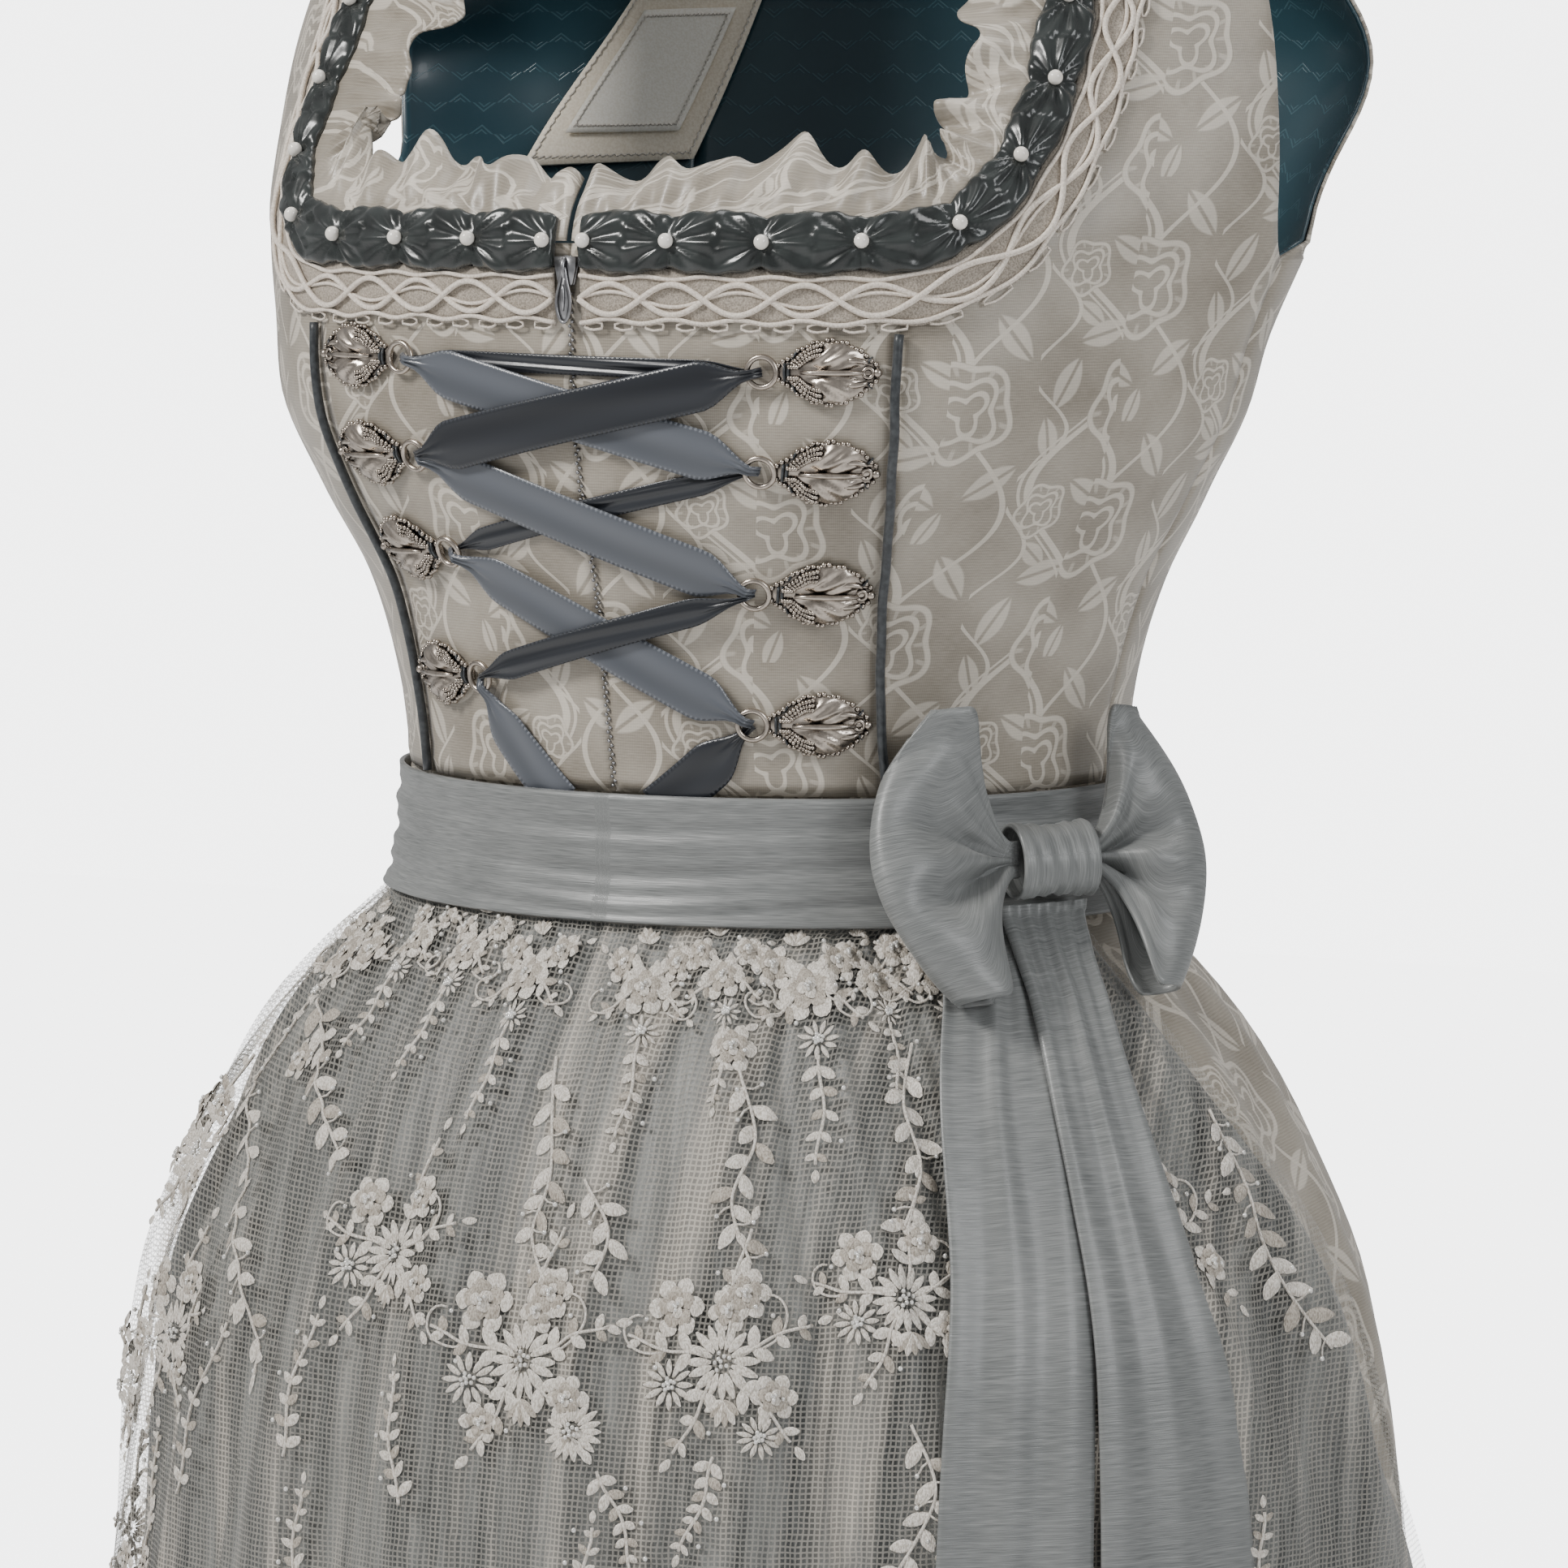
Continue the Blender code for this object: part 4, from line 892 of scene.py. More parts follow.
THREAD = {"roughness": 0.42, "stretch": (1.0, 1.0, 0.4), "scale": 2.2, "bump": 0.45,
          "sheen": 0.25, "strength": 0.9}
looks = {
    "brocade": make_brocade(),
    "lining": make_lining_look(),
    "satin": make_plain("dark_satin", (0.010, 0.0125, 0.012), (0.026, 0.031, 0.030), 0.27,
                        (0.4, 0.4, 0.4), scale=0.3, bump=0.3, sheen=0.1, coat=0.12),
    "lace": make_plain("cream_gimp", (0.55, 0.48, 0.405), (0.78, 0.71, 0.625), 0.7,
                       scale=1.6, sheen=0.3),
    "lace_ground": make_plain("gimp_ground", (0.22, 0.19, 0.155), (0.42, 0.37, 0.31), 0.85,
                              scale=1.9, sheen=0.3),
    "piping": make_plain("dark_cord", (0.018, 0.021, 0.024), (0.045, 0.05, 0.054), 0.4),
    "taffeta": make_taffeta(),
    "net": make_net_look(),
    "underlayer": make_underlayer_look(),
    "ribbon_dark": make_ribbon_look("dark_ribbon", (0.008, 0.0095, 0.013), (0.034, 0.038, 0.047)),
    "ribbon_light": make_ribbon_look("light_ribbon", (0.06, 0.067, 0.08), (0.17, 0.182, 0.208)),
    "canvas": make_plain("bare_canvas", (0.76, 0.68, 0.55), (0.86, 0.79, 0.67), 0.85,
                         scale=1.2, detail=1.0),
    "canvas_pale": make_plain("bare_patch", (0.84, 0.80, 0.71), (0.92, 0.89, 0.82), 0.85,
                              scale=1.4, detail=1.0, bump=0.15),
    "silver": make_silver("antique_silver", (0.50, 0.44, 0.38), (0.04, 0.033, 0.028), 0.27),
    "zip_metal": make_silver("dark_nickel", (0.36, 0.36, 0.37), (0.06, 0.06, 0.065), 0.34),
    "pearl": make_plain("pearl", (0.74, 0.70, 0.63), (0.84, 0.80, 0.74), 0.2,
                        scale=0.2, detail=1.0, bump=0.05, sheen=0.0, coat=0.5),
    "thread": make_plain("cream_thread", (0.40, 0.36, 0.305), (0.82, 0.77, 0.70), **THREAD),
    "thread_dim": make_plain("greige_thread", (0.25, 0.215, 0.175), (0.52, 0.47, 0.40),
                             **{**THREAD, "roughness": 0.45}),
    "bead": make_plain("glass_bead", (0.62, 0.60, 0.56), (0.86, 0.85, 0.82), 0.12,
                       scale=0.9, detail=1.0, bump=0.05, sheen=0.0, coat=0.6, metallic=0.35),
}


def panel_grid(heights, left, right, columns, top=None):
    """Pairs of height and angle between two edges; the last rows ease to a top curve."""
    grid = []
    last = heights[-1]
    for height in heights:
        start, stop = left(height), right(height)
        row = []
        for j in range(columns + 1):
            angle = start + (stop - start) * j / columns
            here = height
            if top:
                share = slope(last - 30.0, last, height)
                here = height + (top(angle) - last) * share
            row.append((here, angle))
        grid.append(row)
    return grid


def roll(grid, depth=0.55, reach=2.4):
    """How far the cloth turns in along a seamed side edge of a grid, by row and column."""
    last = len(grid[0]) - 1

    def rule(i, j):
        height, angle = grid[i][j]
        scale = mm_per_degree(min(height, 396.0), angle)
        d = min(abs(angle - grid[i][0][1]), abs(grid[i][last][1] - angle)) * scale
        return -depth * exp(-(d / reach) ** 2)
    return rule


def bodice_panel(name, grid, lining=False):
    """A fine brocade panel with seam rolls, soft puckers and drag lines."""
    turned = roll(grid)

    def high(i, j, height, angle):
        if lining:
            return LINING_FACE + CLOTH + 0.05 + min(0.6, turned(i, j) - 0.1)
        at = bare_point(height, angle)
        drag = crease(at, 0.8, 0.03, 3.0)
        drag += 0.35 * sin(height * 0.55 + 2.0 * noise.noise(at * 0.02)) * slope(60.0, 34.0, height)
        return min(0.6, turned(i, j) + drag - 0.1)

    slot = "lining" if lining else "brocade"
    made = wall_mesh("fine_" + name, grid, below(high, CLOTH), high, looks[slot], looks["lining"])
    dress(made, slot, name)
    cut(made, grid)


def make_bodice():
    """The seven brocade panels and the three of the lining."""
    fronts = thin_out(BODICE_ROWS[:-1] + (190.0, NECK_FRONT), 5.0)
    straps = thin_out(BODICE_ROWS + (196.0, 235.0, 300.0, SHOULDER_HEIGHT), 5.5)
    backs = thin_out(BODICE_ROWS + (225.0, 280.0, NECK_BACK), 5.5)
    for side, word in ((1.0, "left"), (-1.0, "right")):
        def front_inner(height, side=side):
            return side * (princess_or_neck(height) + seam_angle(height))

        def back_inner(height, side=side):
            seam = BACK_SEAM - seam_angle(height)
            return side * (seam if height < 312.0 else read(NECK_BACK_SIDE, height))

        grid = panel_grid(fronts, upright(0.0, side), edge(PRINCESS, side, -1.0), 26)
        bodice_panel("bodice_front_centre_" + word, grid)
        grid = panel_grid(straps, front_inner, edge(ARM_FRONT, side, -1.0), 32, shoulder_top)
        bodice_panel("bodice_front_side_" + word, grid)
        grid = panel_grid(straps, edge(ARM_BACK, side, 1.0), back_inner, 32, shoulder_top)
        bodice_panel("bodice_back_side_" + word, grid)
        bodice_panel("lining_back_side_" + word, grid, True)
    grid = panel_grid(backs, upright(BACK_SEAM, 1.0), upright(360.0 - BACK_SEAM, -1.0), 36,
                      back_top)
    bodice_panel("bodice_back_centre", grid)
    bodice_panel("lining_back_centre", grid, True)


def small_folds(height, angle):
    """Narrow pleats below the waist seam, which open out further down."""
    fade = slope(-4.0, -22.0, height) * slope(-330.0, -60.0, height)
    beat = angle * 0.62 + 1.7 * noise.noise(Vector((angle * 0.07, height * 0.004, 2.0)))
    return fade * 0.9 * (0.5 + 0.5 * sin(beat))


def make_skirt():
    """Front, two sides and back of the brocade skirt."""
    rows = thin_out(SKIRT_ROWS, 11.0)
    panels = (
        ("skirt_front", -SIDE_SEAM, SIDE_SEAM, 90),
        ("skirt_side_left", SIDE_SEAM, BACK_PANEL, 96),
        ("skirt_back", BACK_PANEL, 360.0 - BACK_PANEL, 84),
        ("skirt_side_right", 360.0 - BACK_PANEL, 360.0 - SIDE_SEAM, 96),
    )
    for name, start, stop, columns in panels:
        grid = panel_grid(rows, upright(start, 1.0), upright(stop, -1.0), columns)
        turned = roll(grid, 0.8, 2.5)

        def high(i, j, height, angle):
            at = bare_point(height, angle)
            free = slope(70.0, 88.0, abs(wrap_angle(angle)))
            extra = free * (crease(at, 2.4, 0.012, 5.0) * slope(-20.0, -160.0, height)
                            + small_folds(height, angle))
            return skirt_out(height, angle) + extra + turned(i, j) * free

        made = wall_mesh("fine_" + name, grid, below(high, CLOTH), high, looks["brocade"],
                         looks["brocade"])
        dress(made, "brocade", name)
        cut(made, grid)


def soft_gather(share):
    """The apron's gathers as a smooth wave; share runs from 0 to 1 over its width."""
    column = share * APRON_GATHERS * 4
    group = int(min(APRON_GATHERS - 1, column // 4))
    part = column - 4 * group
    shape = (0.0, 0.62, 1.0, 0.5, 0.0)
    k = min(3, int(part))
    rise = (shape[k + 1] - shape[k]) * slope(0.0, 1.0, part - k)
    return (shape[k] + rise) * (0.8 + 0.2 * sin(1.7 * group + 0.6))


def apron_angle(height, share):
    """The angle of a share of the apron's width, from 0 to 1."""
    return read(APRON_EDGE, height) * (2.0 * share - 1.0)


def pleats(height, share, seed):
    """Fine pleats of a gathered sheet below the waist."""
    fade = slope(-2.0, -14.0, height) * (0.25 + 0.75 * slope(-420.0, -60.0, height))
    wander = 2.2 * noise.noise(Vector((share * 9.0, height * 0.006, seed)))
    return fade * (0.55 * sin(share * 330.0 + wander) + 0.45 * sin(share * 187.0 + 2.0 * wander))


def under_out(height, angle, share):
    """The underlayer's outer side."""
    base = apron_base(height, angle) + 1.6 + read(FOLD_SIZES, height, 2) * soft_gather(share)
    return base + 0.9 * pleats(height, share, 1.0) + 0.3


def net_out(height, angle, share):
    """The net's face, with the soft swing of light cloth."""
    swing = noise.noise(Vector((share * 6.0, height * 0.009, 7.0)))
    free = slope(-10.0, -120.0, height)
    base = apron_base(height, angle) + 3.1 + 1.2
    base += (read(FOLD_SIZES, height, 2) + read(FOLD_SIZES, height, 3)) * soft_gather(share)
    side = exp(-((abs(angle) - 64.0) / 15.0) ** 2) * slope(-12.0, -110.0, height)
    return base + 0.9 * pleats(height, share, 4.0) + free * (1.6 + 2.6 * swing) + 5.0 * side


def make_apron():
    """The crinkled underlayer and the net of the apron. The net has no thickness."""
    for slot, columns, step, rule, under in (
            ("underlayer", 240, 7.0, under_out, "fine_skirt_front"),
            ("net", 300, 6.0, net_out, "fine_apron_underlayer")):
        rows = thin_out(APRON_ROWS, step)
        grid = [[(h, apron_angle(h, j / columns)) for j in range(columns + 1)] for h in rows]

        def high(i, j, height, angle):
            return rule(height, angle, j / columns)

        made = wall_mesh("fine_apron_" + slot, grid, below(high, 0.5), high, looks[slot],
                         single=slot == "net")
        made["single"] = slot == "net"
        dress(made, slot, "apron_" + slot)
        cut(made, grid)


def sash_out(height, angle, thick=0.0):
    """The sash's inner or outer side, with wrinkles round the waist."""
    (h0, r0), (h1, r1), (h2, r2) = SASH_ROWS[2], SASH_ROWS[1], SASH_ROWS[0]
    rest = r0 + (r1 - r0) * (height - h0) / (h1 - h0) if height < h1 \
        else r1 + (r2 - r1) * (height - h1) / (h2 - h1)
    wander = 3.0 * noise.noise(Vector((sin(radians(angle)) * 1.6, cos(radians(angle)) * 1.6,
                                       height * 0.02)))
    near_bow = exp(-((wrap_angle(angle) - BOW_ANGLE) / 30.0) ** 2)
    wave = sin(height * 0.42 + wander * 1.5) * (0.45 + 0.7 * near_bow)
    wave += 0.35 * sin(height * 0.95 + wander * 2.3 + 1.0)
    ends = slope(-10.5, -6.0, height) * slope(32.0, 28.0, height)
    return rest + (thick + 1.25 * max(-0.7, wave) * ends if thick else 0.0)


def make_sash():
    """The band round the waist."""
    rows = thin_out((-10.5, 8.0, 32.0), 1.5)
    grid = [[(h, 2.5 * n) for n in range(144)] for h in rows]
    made = wall_mesh("fine_sash", grid, lambda i, j, h, a: sash_out(h, a),
                     lambda i, j, h, a: sash_out(h, a, SASH_THICK), looks["taffeta"], closed=True)
    dress(made, "taffeta", "sash")
    loop = runs([surface(8.0, 2.5 * n) for n in range(145)])[-1]
    state(made, loop + 40.0, 46.0)


make_bodice()
make_skirt()
make_apron()
make_sash()


def off_line(place, side, offset):
    """Height and angle at an offset from the neckline, towards its opening."""
    height, angle, up, turn = place
    return min(height + offset * up, SHOULDER_HEIGHT), side * (angle + offset * turn)


def neck_strip(name, side, path, offsets, low, high, outside, slot, node):
    """A fine strip along the neckline. Low and high take (across, n) with across 0 to 1."""
    rows = len(offsets)
    grid = [[off_line(place, side, offset(n)) for n, place in enumerate(path)]
            for offset in offsets]
    made = wall_mesh(name, grid, lambda i, j, h, a: low(i / (rows - 1), j),
                     lambda i, j, h, a: high(i / (rows - 1), j), outside)
    dress(made, slot, node)
    return made, runs([surface(*place[:2]) for place in path])[-1]


def make_ruffle(side, word):
    """The standing brocade ruffle, gathered at its foot."""
    steps = RUFFLE_WAVES * WAVE_STEPS
    path = neck_path(steps, 1.0)

    def rim(n):
        t = n / WAVE_STEPS
        wide = 0.42 * slope(0.24, 0.36, n / steps) if side < 0.0 else 0.0
        dip = 0.3 * slope(1.6, 0.0, t)
        return RUFFLE_HEIGHT * (0.9 + 0.1 * sin(3.4 * t) + 0.07 * sin(8.3 * t + 1.0) + wide - dip)

    def offset_at(share):
        return lambda n: 0.5 + (rim(n) - 0.5) * share

    def high(across, n):
        t = n / WAVE_STEPS
        reach = slope(0.42, 1.0, across)
        beat = 1.0 + 0.35 * sin(1.9 * t + side)
        wave = reach * (3.4 * beat * sin(2.0 * pi * t + 1.2 * sin(2.1 * t)) - 1.4)
        pleat = 0.9 * sin(2.0 * pi * t * 3.0 + 1.3 * sin(t)) * slope(0.3, 0.5, across)
        pleat *= 1.0 - 0.6 * reach
        return 0.3 + THIN_CLOTH + wave + pleat

    made, length = neck_strip(
        "fine_neck_ruffle_" + word, side, path, [offset_at(s / 14.0) for s in range(15)],
        lambda across, n: high(across, n) - 0.8, high, looks["brocade"], "brocade",
        "neck_ruffle_" + word)
    state(made, length * 1.35, RUFFLE_HEIGHT)


def make_ruche(side, word):
    """Ruched satin, drawn together under each pearl."""
    steps = TRIM_REPEATS * TRIM_STEPS
    path = neck_path(steps, BAND_START)

    def width(n):
        t = (n / TRIM_STEPS) % 1.0
        return TRIM_HALF * (0.76 + 0.24 * sin(pi * t) ** 0.7 + 0.03 * sin(n * 0.9))

    def offset_at(share):
        return lambda n: width(n) * share

    def high(across, n):
        t = (n / TRIM_STEPS) % 1.0
        x = 2.0 * across - 1.0
        puff = sin(pi * t) ** 0.6
        arch = max(0.0, 1.0 - x * x) ** 0.5
        near = min(t, 1.0 - t) * 23.0
        far = hypot(near, 9.0 * x)
        fan = atan2(9.0 * x, near + 0.6) + (0.35 if n // TRIM_STEPS % 2 else -0.2)
        folds = 1.0 - 2.0 * abs(((fan * 1.75 + 0.3 * (t > 0.5)) % 1.0) - 0.5)
        sharp = 2.1 * (folds - 0.5) * slope(0.5, 5.0, far) * (0.35 + 0.65 * arch)
        return 3.0 + 0.6 * arch + 2.0 * puff * arch + sharp

    made, length = neck_strip(
        "fine_neck_trim_" + word, side, path, [offset_at(s / 10.0 - 1.0) for s in range(21)],
        lambda across, n: 1.2, high, looks["satin"], "trim_satin", "neck_trim_" + word)
    state(made, length * 1.4, 2.6 * TRIM_HALF)
    pearls = []
    for k in range(TRIM_REPEATS + 1):
        place = path[min(k * TRIM_STEPS, steps - 3) if k else 2]
        h, a = off_line(place, side, 0.6 * sin(3.0 * k))
        pearls.append(ball_mesh(surface(h, a, 5.5), 2.35, 9, 14))
    made = join_meshes("pearls_" + word, pearls, [looks["pearl"]])
    dress(made, "trim_satin")


def make_gimp(side, word):
    """Cream gimp lace: a ground, winding cords and picots."""
    steps = LACE_SCALLOPS * SCALLOP_STEPS
    path = neck_path(steps, BAND_START)

    def foot(n):
        return -TRIM_HALF - LACE_WIDTH - 0.2 - 1.0 * cos(2.0 * pi * n / SCALLOP_STEPS)

    def offset_at(share):
        return lambda n: -TRIM_HALF + 1.5 + (foot(n) + TRIM_HALF - 1.5) * (1.0 - share)

    made, length = neck_strip(
        "fine_neck_lace_" + word, side, path, [offset_at(s / 5.0) for s in range(6)],
        lambda across, n: 0.85, lambda across, n: 1.35 + 0.12 * sin(n * 2.2),
        looks["lace_ground"], "lace", "neck_lace_" + word)
    state(made, length, LACE_WIDTH + 1.0)
    cords = []
    middle = -TRIM_HALF - 7.6

    def cord(rule, radius, lift):
        line = [surface(*off_line(place, side, rule(n)), lift) for n, place in enumerate(path)]
        cords.append(tube_mesh(line, radius, 5))

    cord(lambda n: middle + 4.6 * sin(pi * n / SCALLOP_STEPS), 0.95, 2.0)
    cord(lambda n: middle - 4.6 * sin(pi * n / SCALLOP_STEPS), 0.95, 2.5)
    cord(lambda n: middle + 2.2 * sin(pi * n / SCALLOP_STEPS), 0.6, 1.7)
    cord(lambda n: middle - 6.6 - 0.7 * cos(2 * pi * n / SCALLOP_STEPS), 0.75, 1.9)
    cord(lambda n: middle + 6.4 + 0.5 * cos(2 * pi * n / SCALLOP_STEPS), 0.7, 1.9)
    for n in range(3, steps - 3, 7):
        loop = []
        for b in turns(9):
            place = path[max(0, min(steps, n + int(round(2.0 * cos(b)))))]
            h, a = off_line(place, side, middle - 8.2 + 1.3 * sin(b))
            loop.append(surface(h, a, 1.5))
        cords.append(tube_mesh(loop, 0.42, 4, True))
    made = join_meshes("gimp_cords_" + word, cords, [looks["lace"]])
    dress(made, "lace")


def make_piping():
    """A round cord in each princess seam."""
    foot = SASH_TOP + 1.0
    for side, word in ((1.0, "left"), (-1.0, "right")):
        line = []
        for n in range(61):
            height = foot + (PIPING_TOP - foot) * n / 60
            angle = read(PRINCESS, height) + 0.05 * sin(n * 0.7)
            line.append(surface(height, side * angle, 0.75 + PIPING_RADIUS))
        made = join_meshes("fine_piping_" + word, [tube_mesh(line, PIPING_RADIUS, 12)],
                           [looks["piping"]])
        dress(made, "piping", "piping_" + word)
        state(made, runs(line)[-1], LEAST_CUT)


def make_hook(level, side, word):
    """A cast shell with ribs, a beaded rim, a ring and the thread that holds it."""
    height, angle = hook_place(level, side)
    scale = mm_per_degree(height, angle + side * 9.0)

    def at(reach, across, rise):
        return surface(height + across, angle + side * reach / scale, rise)

    def rim(reach):
        return read(HOOK_PLATE, reach) * (1.0 + 0.05 * sin(reach * 1.3))

    def thick(reach):
        return read(HOOK_PLATE, reach, 2)

    rows, columns = 34, 25
    points, backs = [], []
    for i in range(rows + 1):
        reach = HOOK_START + HOOK_LENGTH * i / rows
        for j in range(columns + 1):
            x = 2.0 * j / columns - 1.0
            across = x * rim(reach)
            side_x, side_r = abs(across) - 4.7, reach - 22.5
            round_lobe = max(0.0, 1.0 - (side_r / 7.5) ** 2 - (side_x / 4.6) ** 2)
            spread = atan2(side_x + 7.0, side_r + 12.0)
            lobe = round_lobe ** 0.5 * (1.5 + 0.55 * cos(26.0 * spread))
            groove = 0.5 * exp(-((abs(across) - 1.5) / 0.6) ** 2) * slope(12.0, 16.0, reach)
            arch = 0.62 * thick(reach) * (1.0 - 0.62 * x * x)
            points.append(at(reach, across, HOOK_REST + arch + lobe - groove))
            backs.append(at(reach, across, HOOK_REST))
    metal = [(points + backs, sum(shell_faces(rows + 1, columns + 1), []))]
    normal = surface_normal(height, angle)
    across = Vector((0.0, 0.0, 1.0)).cross(normal).normalized()
    up = normal.cross(across)
    ring = [surface(height, angle, RING_LIFT) + RING_RADIUS * (cos(b) * across + sin(b) * up)
            for b in turns(28)]
    metal.append(tube_mesh(ring, RING_WIRE, 8, True))
    for n in range(21):
        reach = 5.0 + 29.5 * n / 20.0
        metal += [ball_mesh(at(reach, x * (rim(reach) - 0.3), 1.75), 0.88, 5, 7)
                  for x in (-1.0, 1.0)]
    for n in range(11):
        bend = n / 10.0
        for way in (-1.0, 1.0):
            for row in range(3):
                reach = 8.5 + 9.5 * bend + 0.9 * row * (1.0 - bend)
                x = way * (1.6 + 6.6 * sin(1.45 * bend) - 1.5 * row * bend ** 0.5)
                lift = 1.2 + thick(reach) * 0.62 + 0.35 * sin(5.0 * n + row)
                metal.append(ball_mesh(at(reach, x, lift), 0.78, 4, 6))
    spine = [at(reach, 0.0, 1.3 + thick(reach) * 0.75) for reach in (12.0, 16.0, 21.0, 26.0, 31.0)]
    metal.append(tube_mesh(spine, (0.5, 0.8, 1.0, 0.9, 0.6), 8))
    for way in (-1.0, 1.0):
        curl = [at(26.0 + 1.5 * n, way * (3.6 - 0.03 * (n - 1.0) ** 3), 2.6) for n in range(5)]
        metal.append(tube_mesh(curl, (0.9, 1.1, 1.0, 0.8, 0.6), 7))
    eye = [at(32.2 + 1.5 * cos(b), 1.5 * sin(b), 2.2) for b in turns(12)]
    metal += [tube_mesh(eye, 0.6, 6, True), ball_mesh(at(35.0, 0.0, 1.9), 1.45, 7, 10)]
    threads = [tube_mesh([at(reach, x, 2.1 + 0.7 * cos(0.7 * x))
                          for x in (-2.6, -1.3, 0.0, 1.3, 2.6)], 0.45, 5) for reach in (7.0, 8.2)]
    for reach, x in ((10.0, 5.2), (10.0, -5.2), (32.5, 3.6), (32.5, -3.6)):
        threads.append(tube_mesh([at(reach + 0.8 * s, x * (1.0 + 0.28 * s), 1.2 + 1.1 * cos(1.5 * s))
                                  for s in (-1.0, -0.5, 0.0, 0.5, 1.0)], 0.38, 5))
    made = join_meshes("fine_hook_%s_%d" % (word, level + 1), metal + threads,
                       [looks["silver"], looks["piping"]], [0] * len(metal) + [1] * len(threads))
    dress(made, "silver", "hook_%s_%d" % (word, level + 1))


def ribbon_piece(name, places, level, width, look, open_end):
    """A fine ribbon through its places, drawn together at each ring."""
    last = len(places) - 1
    line = [surface(*place) for place in places]
    lengths = runs(line)
    columns = 10
    tops, backs, uvs = [], [], []
    for n, (height, angle) in enumerate(places):
        ahead = places[min(last, n + 1)]
        behind = places[max(0, n - 1)]
        scale = mm_per_degree(height, angle)
        up = ahead[0] - behind[0]
        turn = (ahead[1] - behind[1]) * scale
        size = hypot(up, turn)
        t = n / last
        near = (t if open_end else min(t, 1.0 - t)) * lengths[-1] / 9.0
        wide = 0.2 + 0.8 * slope(0.4, 2.2, near)
        half = width / 2.0 * wide
        level_out = LEVELS[level]
        over = 3.9 if level else 0.55
        rise = level_out + (over - level_out) * slope(0.9, 0.35, near)
        rise += (1.6 - over) * slope(0.32, 0.0, near)
        if open_end:
            rise += (LEVELS[0] - level_out) * slope(0.2, 0.7, t)
        for j in range(columns + 1):
            x = 2.0 * j / columns - 1.0
            h = height + x * half * turn / size
            a = angle - x * half * up / size / scale
            fold = (1.0 - wide) * 1.1 * cos(3.0 * pi * x) + 0.28 * sin(4.0 * x + 9.0 * t)
            if width < 12.0:
                fold += 0.45 * cos(2.0 * pi * x + 7.0 * t)
            tops.append(surface(h, a, rise + (RIBBON_THICK + fold) * 0.6))
            backs.append(surface(h, a, rise + fold * 0.6))
            uvs.append((0.5 * x * MM, lengths[n] * MM))
    made = make_mesh("fine_" + name, tops + backs, sum(shell_faces(last + 1, columns + 1), []),
                     uvs + uvs, [looks[look]])
    settle_normals(made)
    dress(made, "ribbon", name)
    state(made, lengths[-1], RIBBON_WIDTH)


def make_lacing():
    """The ribbon between the rings, and its two free ends."""
    for name, start, end, level, width, look in LACING:
        h0, a0 = hook_place(*start)
        h1, a1 = hook_place(*end)
        places = tuple((h0 + (h1 - h0) * n / 40.0, a0 + (a1 - a0) * n / 40.0) for n in range(41))
        ribbon_piece(name, places, level, width, look, False)
    for name, row, side, route, level, look in FREE_ENDS:
        p, (q, r) = hook_place(row, side), route
        places = tuple(tuple((1 - t) ** 2 * p[c] + 2 * t * (1 - t) * q[c] + t * t * r[c]
                             for c in (0, 1)) for t in (n / 30.0 for n in range(31)))
        ribbon_piece(name, places, level, RIBBON_WIDTH, look, True)


